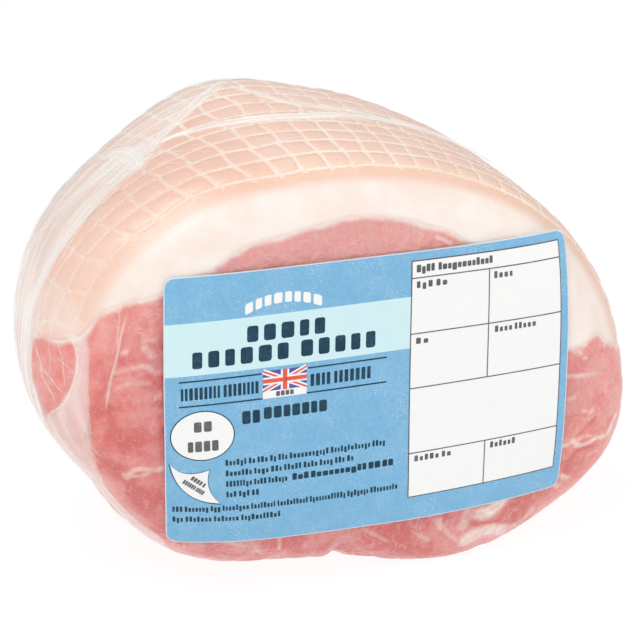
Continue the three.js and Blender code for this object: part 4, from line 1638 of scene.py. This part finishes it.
@dataclass(frozen=True)
class FilmPleats:
    """Spare film that stands up in folds, gathered at a bunch on the upper left."""

    lift: float = 0.3
    foot: float = -1.6
    step: float = 0.6
    points_across: int = 21
    reach: float = 0.36
    drift: float = 0.1
    crest: float = 0.11
    pleats: tuple[Pleat, ...] = (
        Pleat(((133, -7.5), (128.2, -5.4), (122.8, -6.4), (117.8, -7.1), (112.5, -8), (105.8, -8.4),
               (98, -8.2), (90.5, -7.2), (80.5, -6.6), (71.5, -5.8), (60, -6), (50, -8), (40, -10.5)), 3.9,
              0.8, 2, 0.95),
        Pleat(((132, -5.5), (129, -3.8), (125.7, -1.9), (119.3, 2.5), (113.8, 6.4), (109.8, 10.1),
               (107.8, 13.5)), 4.6, 0.5, 2, 0.8),
        Pleat(((110, 9.6), (107.3, 5.3), (103.2, 1), (98.8, -2), (92, -3.4), (86, -3.6), (78, -4.4),
               (73, -5.6)), 3.0, 0.5, 2, 0.7),
        Pleat(((135, -10.1), (139, -11), (145, -12.2), (150, -13.4), (157, -13.7), (165.5, -13.3),
               (171.5, -14), (176, -14), (180, -17)), 4.2, 0.3, 3, 0.72),
        Pleat(((136.5, -4), (140, -3), (149, -1), (158, 1), (176, 5)), 3.6, 0.2, 3, 0.5),
        Pleat(((168.5, -13.5), (170, -15.5), (172, -16.5), (176, -16.5), (180.5, -15)), 2.4, 0.3, 2, 0.3),
        Pleat(((138, 4), (135.4, 1), (134.2, -3), (134.2, -7.5), (135.8, -11.5)), 6.2, 0.75, 3, 0.85),
    )

    def ribbon(self, pleat: Pleat, seed: int) -> tuple[Array, list[tuple[int, ...]], Array, Array]:
        """One fold as a closed low ribbon with crests along it, whose foot lies in the meat.

        Args:
            pleat: The fold.
            seed: Sets where its crests wander.

        Returns:
            Points in mm from the axis, faces, and the haze and the streaks' flow at each point.
        """
        run = smooth_run(pleat.run, 1.0)
        line, _ = FORM.side_point(np.radians(run[:, 0]), run[:, 1])
        lengths = np.concatenate([[0], np.cumsum(np.linalg.norm(np.diff(line, axis=0), axis=1))])
        count = max(int(lengths[-1] / self.step), 6)
        places = np.linspace(0, lengths[-1], count)
        angle, depth = (np.interp(places, lengths, run[:, k]) for k in (0, 1))
        middle, outward = FORM.side_point(np.radians(angle), depth)
        sideways = unit(np.cross(outward, unit(np.gradient(middle, axis=0))))
        t = np.linspace(0, 1, count)
        taper = 0.3 + 0.7 * np.sin(math.pi * np.clip(t, 0.02, 0.98)) ** 0.5
        across = np.linspace(-0.5, 0.5, self.points_across)
        wander = np.stack([places * 0.05, 0 * places + seed * 7.3, 0 * places], -1)
        crests = np.zeros((count, self.points_across))
        for crest in range(pleat.crests):
            home = self.reach * (2 * (crest + 0.5) / pleat.crests - 1)
            drift = fractal(wander + [0, 0, crest * 5.1], 1.0, 2) * self.drift
            power = 0.8 + 0.4 * fractal(wander + [0, 3.3, crest * 2.7], 0.8, 2)
            near = np.abs(across[None, :] - (home + drift)[:, None])
            crests = np.maximum(crests, power[:, None] * np.exp(-((near / self.crest) ** 2)))
        body = 1 - np.abs(2 * across) ** 4
        rise = pleat.height * taper[:, None] * body[None, :] * (0.3 + 0.6 * np.clip(crests, 0, 1))
        wide = (pleat.width * taper)[:, None] * across[None, :]
        spread = middle[:, None, :] + sideways[:, None, :] * wide[..., None]
        top = spread + outward[:, None, :] * (self.lift + rise)[..., None]
        foot = spread + outward[:, None, :] * self.foot
        fade = smooth(np.minimum(t, 1 - t) * 9)[:, None] * smooth((0.5 - np.abs(across)) / 0.22)[None, :]
        haze = pleat.strength * fade * (0.5 + 0.5 * np.clip(crests, 0, 1))
        flow = np.stack([(places / 12.0)[:, None] + 0 * wide, wide / 0.4, 0 * wide + seed * 3.0], -1)
        points = np.concatenate([top.reshape(-1, 3), foot[:, 1:-1].reshape(-1, 3)])
        below = count * (self.points_across - 2)
        return (points, self.strip_faces(count, self.points_across),
                np.concatenate([haze.ravel(), np.zeros(below)]),
                np.concatenate([flow.reshape(-1, 3), np.zeros((below, 3))]))

    @staticmethod
    def strip_faces(n: int, m: int) -> list[tuple[int, ...]]:
        """Faces of a ribbon whose foot shares the two edges of its top.

        Args:
            n: How many rows it has.
            m: How many points its top has across.

        Returns:
            The corners of each face.
        """
        def top(i: int, j: int) -> int:
            """Number of a point of the top."""
            return i * m + j

        def foot(i: int, j: int) -> int:
            """Number of a point of the foot."""
            return top(i, j) if j in (0, m - 1) else n * m + i * (m - 2) + j - 1

        faces = []
        for i in range(n - 1):
            for j in range(m - 1):
                faces.append((top(i, j), top(i + 1, j), top(i + 1, j + 1), top(i, j + 1)))
                faces.append((foot(i, j), foot(i, j + 1), foot(i + 1, j + 1), foot(i + 1, j)))
        for i, order in ((0, 1), (n - 1, -1)):
            loop = [top(i, j) for j in range(m)] + [foot(i, j) for j in range(m - 2, 0, -1)]
            faces.append(tuple(loop[::order]))
        return faces

    def build(self) -> None:
        """Makes all the folds as one piece."""
        points, faces, hazes, flows, first = [], [], [], [], 0
        for seed, pleat in enumerate(self.pleats):
            part, corners, haze, flow = self.ribbon(pleat, seed + 1)
            points.append(part)
            faces += [tuple(corner + first for corner in face) for face in corners]
            hazes.append(haze)
            flows.append(flow)
            first += len(part)
        folds = new_object("film_folds", np.concatenate(points), faces)
        add_value(folds, "haze", np.concatenate(hazes))
        add_value(folds, "flow", np.concatenate(flows))
        place_on_model(folds, FilmFinish("folded film", clear=0.0, dimple=0.1).material(), "film",
                       "film_pleats")


@dataclass(frozen=True)
class NetThreads:
    """Threads of the net: thin hoops, and flat strands that step aside at each hoop."""

    girth: float = 400.0
    step: float = 0.8
    hoop_radius: float = 0.42
    hoop_flatness: float = 0.34
    strand_radius: float = 0.72
    hoop_lift: float = -0.38
    strand_lift: float = -0.5
    strand_flatness: float = 0.27
    stub: float = 0.17
    gap: float = 0.02
    on_lean: float = 0.3
    bare_from: float = 158.0
    bare_meshes: float = 3.2
    veiled_from: float = 116.0
    veiled: float = 0.6
    hiding_haze: Pair = (0.42, 0.15)
    patch: float = 16.0
    meat: Meat = Meat()
    film: FilmSkin = FilmSkin()

    def show(self, theta: Array, y: Array, v: Array) -> Array:
        """How well a thread shows: well on the rind, faintly on the lean, not on the lean's bare edge.

        Args:
            theta: Angles in radians.
            y: Depths in mm.
            v: Places in the net's mesh, in hoops along it.

        Returns:
            A share for each place.
        """
        x, _, z = FORM.point(theta, y, FORM.side_share(theta, y)).T
        fatty = ramp(z - self.meat.seam_height(x, y), -2.5, 5)
        angle = np.mod(np.degrees(theta), 360)
        bare = ramp(angle, self.bare_from, 10) * ramp(v, self.bare_meshes, -0.6)
        veiled = ramp(angle, self.veiled_from, 24) * ramp(v, 5.5, -3) * self.veiled
        patchy = 0.85 + 0.35 * fractal(np.stack([x, y, z], -1), self.patch, 2)
        seen = ramp(v, -0.7, 0.9) * (1 - ramp(self.film.haze(angle, y), *self.hiding_haze))
        return lerp(self.on_lean * (1 - bare), patchy * (1 - veiled), fatty) * seen

    def hoops(self) -> list[Line]:
        """Lines of the hoops.

        Returns:
            The lines.
        """
        u = np.linspace(0, NET.strands, int(self.girth / self.step), endpoint=False)
        lines = []
        for hoop in range(NET.hoops):
            theta, y = NET.place(u, 0 * u + hoop)
            lines += shown(Line(*FORM.side_point(theta, y), 1.0, self.show(theta, y, 0 * u + hoop), True))
        return lines

    def strands(self) -> list[Line]:
        """Lines of the strands, one for each mesh, with short stubs beyond the last hoops.

        Returns:
            The lines.
        """
        lines = []
        for row in range(-1, NET.hoops):
            start = 1 - self.stub if row < 0 else self.gap
            end = self.stub if row == NET.hoops - 1 else 1 - self.gap
            v = row + np.linspace(start, end, 6)
            strand, across = np.meshgrid(np.arange(NET.strands), v, indexing="ij")
            theta, y = NET.place(strand.ravel().astype(float), across.ravel())
            points, outward = (part.reshape(*across.shape, 3) for part in FORM.side_point(theta, y))
            show = self.show(theta, y, across.ravel()).reshape(across.shape)
            ends = np.minimum(1, 0.75 + 3 * np.abs(v - row - 0.5) ** 2)
            for k in range(NET.strands):
                lines += shown(Line(points[k], outward[k], ends, show[k]))
        return lines

    def build(self) -> None:
        """Makes the hoops and the strands."""
        hoop = ThreadFinish("net hoop thread", linear(255, 236, 214), linear(255, 248, 238), 0.9)
        strand = ThreadFinish("net strand thread", linear(255, 238, 227), linear(255, 248, 242), 0.74)
        SWEEP.sweep("net_hoops", "net", self.hoops(), hoop.material(), self.hoop_radius, self.hoop_lift,
                    self.hoop_flatness)
        SWEEP.sweep("net_strands", "net", self.strands(), strand.material(), self.strand_radius,
                    self.strand_lift, self.strand_flatness)


# ---- the label


@dataclass(frozen=True)
class Label:
    """Printed paper label on the cut face. Places on it are mm to the right and down from its top left."""

    left: float = -48.7
    top: float = 80.1
    width: float = 95.5
    height: float = 63.4
    corner: float = 2.2
    bow_left: float = 1.2
    bow_right: float = 0.5
    bow_top: float = 0.2
    bow_bottom: float = 1.7
    stiffness: float = 0.05
    lift: float = 0.45
    thickness: float = 0.2
    columns: int = 84
    rows: int = 56

    def on_label(self, across: Array, down: Array, lift: Array | float) -> Array:
        """Point in mm from the joint's axis of a place on the label, lifted off the meat.

        Args:
            across: Places to the right, in mm.
            down: Places down, in mm.
            lift: Height above the meat, in mm.

        Returns:
            The points, along a new last axis.
        """
        u, v = across / self.width, down / self.height
        bow_u, bow_v = 1 - (2 * u - 1) ** 2, 1 - (2 * v - 1) ** 2
        x = self.left + across + bow_v * (self.bow_right * u - self.bow_left * (1 - u))
        z = self.top - down + bow_u * (self.bow_top * (1 - v) - self.bow_bottom * v)
        return np.stack([x, FORM.face_depth(x, z, self.stiffness) - lift, z], -1)

    def build(self) -> None:
        """Makes the paper as a thin closed sheet with round corners."""
        corner = self.corner
        start = np.array([0, 0.04, 0.14, 0.32, 0.6, 1.0]) * corner
        down = np.concatenate([start, np.linspace(corner, self.height - corner, self.rows)[1:-1],
                               self.height - start[::-1]])
        edge = np.minimum(down, self.height - down)
        curve = corner - np.sqrt(np.clip(corner**2 - (corner - edge) ** 2, 0, None))
        inset = np.where(edge < corner, curve, 0)
        share = np.linspace(0, 1, self.columns)
        across = inset[:, None] + (self.width - 2 * inset)[:, None] * share[None, :]
        downs = down[:, None] + 0 * across
        top = self.on_label(across, downs, self.lift + self.thickness)
        foot = self.on_label(across, downs, self.lift)
        sheet = slab("label_paper", top, foot)
        sheet.data.set_sharp_from_angle(angle=math.radians(40))
        inward = np.minimum(np.minimum(across - inset[:, None], (self.width - inset)[:, None] - across),
                            np.minimum(downs, self.height - downs))
        add_value(sheet, "inset", np.concatenate([inward.ravel(), np.zeros(inward.size)]))
        place_on_model(sheet, PaperFinish().material(), "label", "label")


class Ink(Enum):
    """The label's printing inks."""

    CYAN = "print_pale_band"
    WHITE = "print_white"
    NAVY = "print_navy"
    GREY = "print_grey"
    RED = "print_red"
    BLUE = "print_blue"


Outline = list[Pair]


def rectangle(left: float, top: float, right: float, bottom: float, corner: float = 0.0) -> Outline:
    """Outline of a rectangle on the label, with round corners where corner is above zero.

    Args:
        left: Its left edge.
        top: Its top edge.
        right: Its right edge.
        bottom: Its bottom edge.
        corner: The radius of its corners.

    Returns:
        The outline, in mm.
    """
    if corner <= 0:
        return [(left, top), (right, top), (right, bottom), (left, bottom)]
    middles = ((right - corner, top + corner, -90), (right - corner, bottom - corner, 0),
               (left + corner, bottom - corner, 90), (left + corner, top + corner, 180))
    return [(x + corner * math.cos(math.radians(turn + part)),
             y + corner * math.sin(math.radians(turn + part)))
            for x, y, turn in middles for part in (0, 30, 60, 90)]


def ellipse(x: float, y: float, wide: float, high: float, tilt: float = 0.0, points: int = 48) -> Outline:
    """Outline of an ellipse on the label, of a whole width and height, tilted by degrees.

    Args:
        x: Its middle, across.
        y: Its middle, down.
        wide: Its width.
        high: Its height.
        tilt: Its tilt in degrees.
        points: How many points it has.

    Returns:
        The outline, in mm.
    """
    turn = math.radians(tilt)
    outline = []
    for k in range(points):
        a, b = wide / 2 * math.cos(2 * math.pi * k / points), high / 2 * math.sin(2 * math.pi * k / points)
        outline.append((x + a * math.cos(turn) - b * math.sin(turn),
                        y + a * math.sin(turn) + b * math.cos(turn)))
    return outline


def ribbon_outline(points: Sequence[Pair], width: float) -> Outline:
    """Outline of a line of even width along some points on the label.

    Args:
        points: The line's points.
        width: Its width.

    Returns:
        The outline, in mm.
    """
    line = np.array(points, float)
    ahead = np.gradient(line, axis=0)
    side = np.stack([-ahead[:, 1], ahead[:, 0]], -1)
    side *= width / 2 / np.linalg.norm(side, axis=1, keepdims=True)
    return [tuple(p) for p in line + side] + [tuple(p) for p in (line - side)[::-1]]


@dataclass(frozen=True)
class LabelPrint:
    """Print on the label: fields of colour, rules, and plain blocks in rows where words would be."""

    label: Label
    slice_step: float = 1.5
    layer_step: float = 0.025
    ink_thickness: float = 0.02
    off_paper: float = 0.004
    slice_offset: float = 0.0137
    patches: dict[Ink, list[tuple[Outline, int]]] = field(default_factory=dict)

    def patch(self, ink: Ink, outline: Outline, layer: int = 1) -> None:
        """Adds a patch of ink on a layer, counted up from the paper."""
        self.patches.setdefault(ink, []).append((outline, layer))

    def block_row(self, ink: Ink, left: float, right: float, top: float, bottom: float, words: Sequence[int],
                  layer: int = 1, gap: float = 0.28, space: float = 0.9, uneven: bool = False,
                  place: Callable[[float, float], Pair] | None = None) -> None:
        """Row of plain upright blocks, grouped as words, that fills a stretch of a line.

        Args:
            ink: The row's ink.
            left: Where it starts.
            right: Where it ends.
            top: Its top.
            bottom: Its bottom.
            words: How many blocks each group has.
            layer: The print layer.
            gap: The gap between blocks, as a share of a block's width.
            space: The space between groups, as a share of a block's width.
            uneven: Whether some blocks stand taller or hang lower.
            place: Where a point of the straight row goes, for a bent row.
        """
        draw = np.random.default_rng(int(abs(left) * 10 + abs(top) * 100 + sum(words)))
        widths = draw.uniform(0.8, 1.2, sum(words))
        total = widths.sum() + gap * (sum(words) - len(words)) + space * (len(words) - 1)
        unit = (right - left) / total
        x, k, tall = left, 0, bottom - top
        for group in words:
            for number in range(group):
                wide = widths[k] * unit
                high, low = top, bottom
                if uneven:
                    high, low = top + tall * 0.24, bottom - tall * 0.12
                    kind = draw.uniform()
                    if number == 0 or kind > 0.72:
                        high = top
                    elif kind < 0.12:
                        low = bottom + tall * 0.1
                outline = rectangle(x, high, x + wide, low, min(wide, low - high) * 0.22)
                self.patch(ink, [place(*p) for p in outline] if place else outline, layer)
                x += wide + (gap if number + 1 < group else space) * unit
                k += 1

    def draw_fields(self) -> None:
        """Adds the pale band, the rules and the oval."""
        self.patch(Ink.CYAN, rectangle(0.03, 10.0, 56.2, 21.8))
        for top in (23.1, 28.8):
            self.patch(Ink.NAVY, rectangle(3.2, top - 0.17, 21.6, top + 0.17))
            self.patch(Ink.NAVY, rectangle(31.7, top - 0.17, 50.4, top + 0.17))
        self.patch(Ink.NAVY, ellipse(8.2, 36.0, 14.2, 11.9, 3.0), 1)
        self.patch(Ink.WHITE, ellipse(8.2, 36.0, 13.7, 11.4, 3.0), 2)
        self.block_row(Ink.GREY, 6.3, 10.2, 32.6, 35.0, (2,), 3, 0.3)
        self.block_row(Ink.GREY, 4.9, 11.6, 37.2, 39.7, (4,), 3, 0.3)

    def draw_heading(self) -> None:
        """Adds the bent row above the band, the two heavy rows on it and the rows between the rules."""
        def bent(x: float, y: float) -> Pair:
            """Place on the row's arch."""
            return x, y + 1.9 * ((x - 26.3) / 8.7) ** 2

        self.block_row(Ink.WHITE, 17.6, 35.0, 5.3, 7.6, (8,), 1, 0.35, place=bent)
        self.block_row(Ink.NAVY, 18.1, 35.8, 12.0, 15.6, (5,), 2, 0.5)
        self.block_row(Ink.NAVY, 6.1, 47.6, 16.6, 20.3, (6, 5), 2, 0.5, 1.1)
        self.block_row(Ink.NAVY, 3.6, 20.7, 24.6, 27.4, (9, 8), 1, 0.55, 1.2)
        self.block_row(Ink.NAVY, 32.6, 46.6, 24.6, 27.4, (4, 7), 1, 0.55, 1.2)
        self.block_row(Ink.NAVY, 17.0, 21.0, 31.2, 34.2, (2,), 1, 0.3)
        self.block_row(Ink.NAVY, 21.9, 36.4, 30.9, 33.6, (7,), 1, 0.3)

    def draw_flag(self) -> None:
        """Adds the small cross flag between the rules, with its plain strip below."""
        left, top, right, bottom = 21.7, 22.6, 31.7, 27.2
        middle, centre = (left + right) / 2, (top + bottom) / 2
        self.patch(Ink.WHITE, rectangle(left, bottom, right, 28.9), 1)
        self.patch(Ink.BLUE, rectangle(left, top, right, bottom), 1)
        for a, b in (((left, top), (right, bottom)), ((left, bottom), (right, top))):
            self.patch(Ink.WHITE, ribbon_outline((a, b), 1.15), 2)
            self.patch(Ink.RED, ribbon_outline((a, b), 0.4), 3)
        self.patch(Ink.WHITE, rectangle(left, centre - 0.85, right, centre + 0.85), 4)
        self.patch(Ink.WHITE, rectangle(middle - 0.95, top, middle + 0.95, bottom), 4)
        self.patch(Ink.RED, rectangle(left, centre - 0.45, right, centre + 0.45), 5)
        self.patch(Ink.RED, rectangle(middle - 0.5, top, middle + 0.5, bottom), 5)
        self.block_row(Ink.GREY, 24.7, 28.7, 27.5, 28.6, (4,), 2, 0.3)

    def draw_peel_mark(self) -> None:
        """Adds the white curling corner at the lower left."""
        tip, right, low = (1.0, 42.4), (9.5, 44.4), (11.6, 52.9)

        def curve(a: Pair, control: Pair, b: Pair) -> Outline:
            """Bent side from a up to b."""
            return [tuple((1 - t) ** 2 * a[k] + 2 * t * (1 - t) * control[k] + t * t * b[k] for k in (0, 1))
                    for t in np.linspace(0, 1, 9)[:-1]]

        sides = (curve(tip, (3.4, 46.4), right) + curve(right, (8.0, 49.0), low)
                 + curve(low, (2.6, 52.2), tip))
        centre = np.mean(sides, axis=0)
        grown = [tuple(centre + (np.array(p) - centre) * 1.06) for p in sides]
        self.patch(Ink.NAVY, grown, 1)
        self.patch(Ink.WHITE, sides, 2)
        turn = math.radians(38)
        for left, right_end, low_edge, words in ((-1.7, 1.9, -1.2, (4, 1)), (-2.6, 2.8, 0.5, (6, 4))):
            def tilted(x: float, y: float) -> Pair:
                """Place on the mark of one on its rows."""
                return (6.2 + x * math.cos(turn) - y * math.sin(turn),
                        48.0 + x * math.sin(turn) + y * math.cos(turn))
            self.block_row(Ink.GREY, left, right_end, low_edge - 0.55, low_edge + 0.55, words, 3, 0.3, 0.7,
                           place=tilted)

    def draw_small_rows(self) -> None:
        """Adds the small rows at the bottom of the blue."""
        rows = ((13.1, 50.2, 43.0, (6, 2, 3, 2, 3, 11, 12, 4)), (13.1, 42.6, 45.6, (7, 4, 3, 5, 4, 4, 3, 2)),
                (13.1, 27.0, 48.2, (8, 4, 6)), (13.1, 20.4, 50.8, (3, 3, 2)),
                (1.4, 53.3, 54.2, (3, 7, 3, 8, 8, 10, 12, 7, 9)), (1.4, 25.2, 56.9, (3, 7, 7, 11)))
        for left, right, middle, words in rows:
            self.block_row(Ink.NAVY, left, right, middle - 0.75, middle + 0.85, words, 1, 0.55, 1.1, True)
        self.block_row(Ink.NAVY, 28.2, 52.2, 47.3, 49.1, (3, 10, 2, 2), 1, 0.25, 0.5, True)

    def draw_panel(self) -> None:
        """Adds the white panel with its thin grey rules and short grey rows."""
        left, top, right, bottom, rule = 56.0, 2.1, 93.4, 57.5, 0.13
        self.patch(Ink.GREY, rectangle(left - rule, top - rule, right + rule, bottom + rule), 2)
        self.patch(Ink.WHITE, rectangle(left + rule, top + rule, right - rule, bottom - rule), 3)
        for down in (5.9, 18.6, 31.3, 46.8):
            self.patch(Ink.GREY, rectangle(left, down - rule, right, down + rule), 4)
        for start, end in ((5.9, 31.3), (46.8, 57.5)):
            self.patch(Ink.GREY, rectangle(74.9 - rule, start, 74.9 + rule, end), 4)
        words = ((57.1, 75.7, 3.0, 4.9, (4, 12), 0.25), (57.2, 64.5, 6.7, 8.4, (3, 2), 0.6),
                 (76.1, 80.7, 6.7, 8.5, (4,), 0.6), (57.3, 60.2, 19.6, 21.2, (2,), 0.6),
                 (76.5, 86.8, 19.4, 21.1, (4, 5), 0.6), (57.4, 66.4, 47.5, 49.1, (5, 2), 0.6),
                 (76.3, 82.6, 47.4, 49.1, (6,), 0.6))
        for start, end, high, low, groups, gap in words:
            self.block_row(Ink.GREY, start, end, high, low, groups, 4, gap, 1.0, True)

    def piece(self, ink: Ink) -> Piece:
        """Mesh of all the patches of an ink, sliced so that it bends with the label.

        Args:
            ink: The ink.

        Returns:
            The new object.
        """
        sheet = bmesh.new()
        for outline, layer in self.patches[ink]:
            low = self.label.lift + self.label.thickness + self.layer_step * (layer - 1) + self.off_paper
            bottom = [sheet.verts.new((x, y, low)) for x, y in outline]
            top = [sheet.verts.new((x, y, low + self.ink_thickness)) for x, y in outline]
            sheet.faces.new(bottom)
            sheet.faces.new(top[::-1])
            for k in range(len(outline)):
                j = (k + 1) % len(outline)
                sheet.faces.new((bottom[j], bottom[k], top[k], top[j]))
        for axis, length in ((0, self.label.width), (1, self.label.height)):
            for cut in np.arange(self.slice_step, length, self.slice_step):
                place = [0.0, 0.0, 0.0]
                place[axis] = float(cut) + self.slice_offset
                way = (1, 0, 0) if axis == 0 else (0, 1, 0)
                bmesh.ops.bisect_plane(sheet, geom=sheet.verts[:] + sheet.edges[:] + sheet.faces[:],
                                       dist=1e-6, plane_co=place, plane_no=way)
        bmesh.ops.triangulate(sheet, faces=[face for face in sheet.faces if len(face.verts) > 4])
        flat = np.array([vertex.co for vertex in sheet.verts])
        points = FORM.to_model(self.label.on_label(flat[:, 0], flat[:, 1], flat[:, 2]))
        for vertex, point in zip(sheet.verts, points):
            vertex.co = point
        bmesh.ops.recalc_face_normals(sheet, faces=sheet.faces)
        mesh = bpy.data.meshes.new(ink.value)
        sheet.to_mesh(mesh)
        sheet.free()
        return linked(ink.value, mesh)

    def build(self) -> None:
        """Makes one piece for each ink."""
        for draw in (self.draw_fields, self.draw_heading, self.draw_flag, self.draw_peel_mark,
                     self.draw_small_rows, self.draw_panel):
            draw()
        finishes = {
            Ink.CYAN: InkFinish("pale band ink", linear(210, 240, 245), linear(216, 243, 246)),
            Ink.WHITE: InkFinish("white ink", linear(250, 250, 248), linear(246, 247, 247)),
            Ink.NAVY: InkFinish("navy ink", linear(14, 56, 76), linear(40, 86, 106)),
            Ink.GREY: InkFinish("grey ink", linear(92, 92, 94), linear(120, 120, 122)),
            Ink.RED: InkFinish("red ink", linear(236, 88, 66), linear(240, 110, 88)),
            Ink.BLUE: InkFinish("blue ink", linear(84, 80, 168), linear(100, 98, 180)),
        }
        for ink, finish in finishes.items():
            place_on_model(self.piece(ink), finish.material(), "print")


# ---- the studio


WHITE = (1.0, 1.0, 1.0, 1.0)


@dataclass(frozen=True)
class Softbox:
    """Large soft lamp: where it is in metres, how wide it is, and its power in watts."""

    name: str
    place: Triple
    size: float
    power: float


@dataclass(frozen=True)
class Studio:
    """Pale floor, soft light and the camera at the viewing angle."""

    azimuth: float = -21.0
    elevation: float = 20.0
    distance: float = 0.45
    target: Triple = (0.00277, -0.0021, 0.05371)
    lens: float = 106.03
    floor_size: float = 4.0
    floor_gap: float = 0.15
    surround: float = 0.45
    floor_tone: Pair = (0.12, 0.125)
    floor_glow: float = 0.92
    lamps: tuple[Softbox, ...] = (
        Softbox("key", (-0.5, -0.55, 1.3), 0.8, 11.0),
        Softbox("fill", (0.9, -0.7, 0.5), 0.8, 2.2),
    )

    def camera(self) -> None:
        """Makes the camera."""
        turn, rise = math.radians(self.azimuth), math.radians(self.elevation)
        back = Vector((math.sin(turn) * math.cos(rise), -math.cos(turn) * math.cos(rise), math.sin(rise)))
        data = bpy.data.cameras.new("camera")
        data.lens = self.lens
        data.sensor_width = 36.0
        data.clip_start = 0.01
        camera = linked("camera", data)
        camera.location = Vector(self.target) + back * self.distance
        camera.rotation_euler = back.to_track_quat("Z", "Y").to_euler()
        bpy.context.scene.camera = camera

    def floor(self) -> None:
        """Makes the pale floor."""
        half, low = self.floor_size / 2, -self.floor_gap * MM
        corners = np.array([(-half, -half, low), (half, -half, low), (half, half, low), (-half, half, low)])
        floor = new_object("floor", FORM.from_model(corners), [(0, 1, 2, 3)])
        lay = Surface("floor", 0.9, Specular_IOR_Level=0.0, Emission_Color=WHITE,
                      Emission_Strength=self.floor_glow)
        tone = lay.mix(lay.noise(lay.place(), 300.0), *((value,) * 3 for value in self.floor_tone))
        floor.data.materials.append(lay.dress(Base_Color=tone))

    def light(self) -> None:
        """Makes the soft lamps and the white surround."""
        for lamp in self.lamps:
            data = bpy.data.lights.new(lamp.name, "AREA")
            data.shape = "DISK"
            data.size = lamp.size
            data.energy = lamp.power
            thing = linked(lamp.name, data)
            thing.location = lamp.place
            way = Vector(lamp.place) - Vector(self.target)
            thing.rotation_euler = way.to_track_quat("Z", "Y").to_euler()
        world = bpy.data.worlds.new("surround")
        world.use_nodes = True
        background = world.node_tree.nodes["Background"]
        background.inputs["Color"].default_value = WHITE
        background.inputs["Strength"].default_value = self.surround
        bpy.context.scene.world = world
        bpy.context.scene.view_settings.view_transform = "Standard"

    def build(self) -> None:
        """Makes the whole studio."""
        self.camera()
        self.floor()
        self.light()


def main() -> None:
    """Builds the pack and its studio."""
    logging.basicConfig(level=logging.INFO, format="%(name)s %(message)s")
    label = Label()
    for part in (Studio(), Meat(), NetThreads(), FilmSkin(), FilmPleats(), label, LabelPrint(label)):
        part.build()
        LOG.info("built %s", type(part).__name__)


if __name__ == "__main__":
    main()
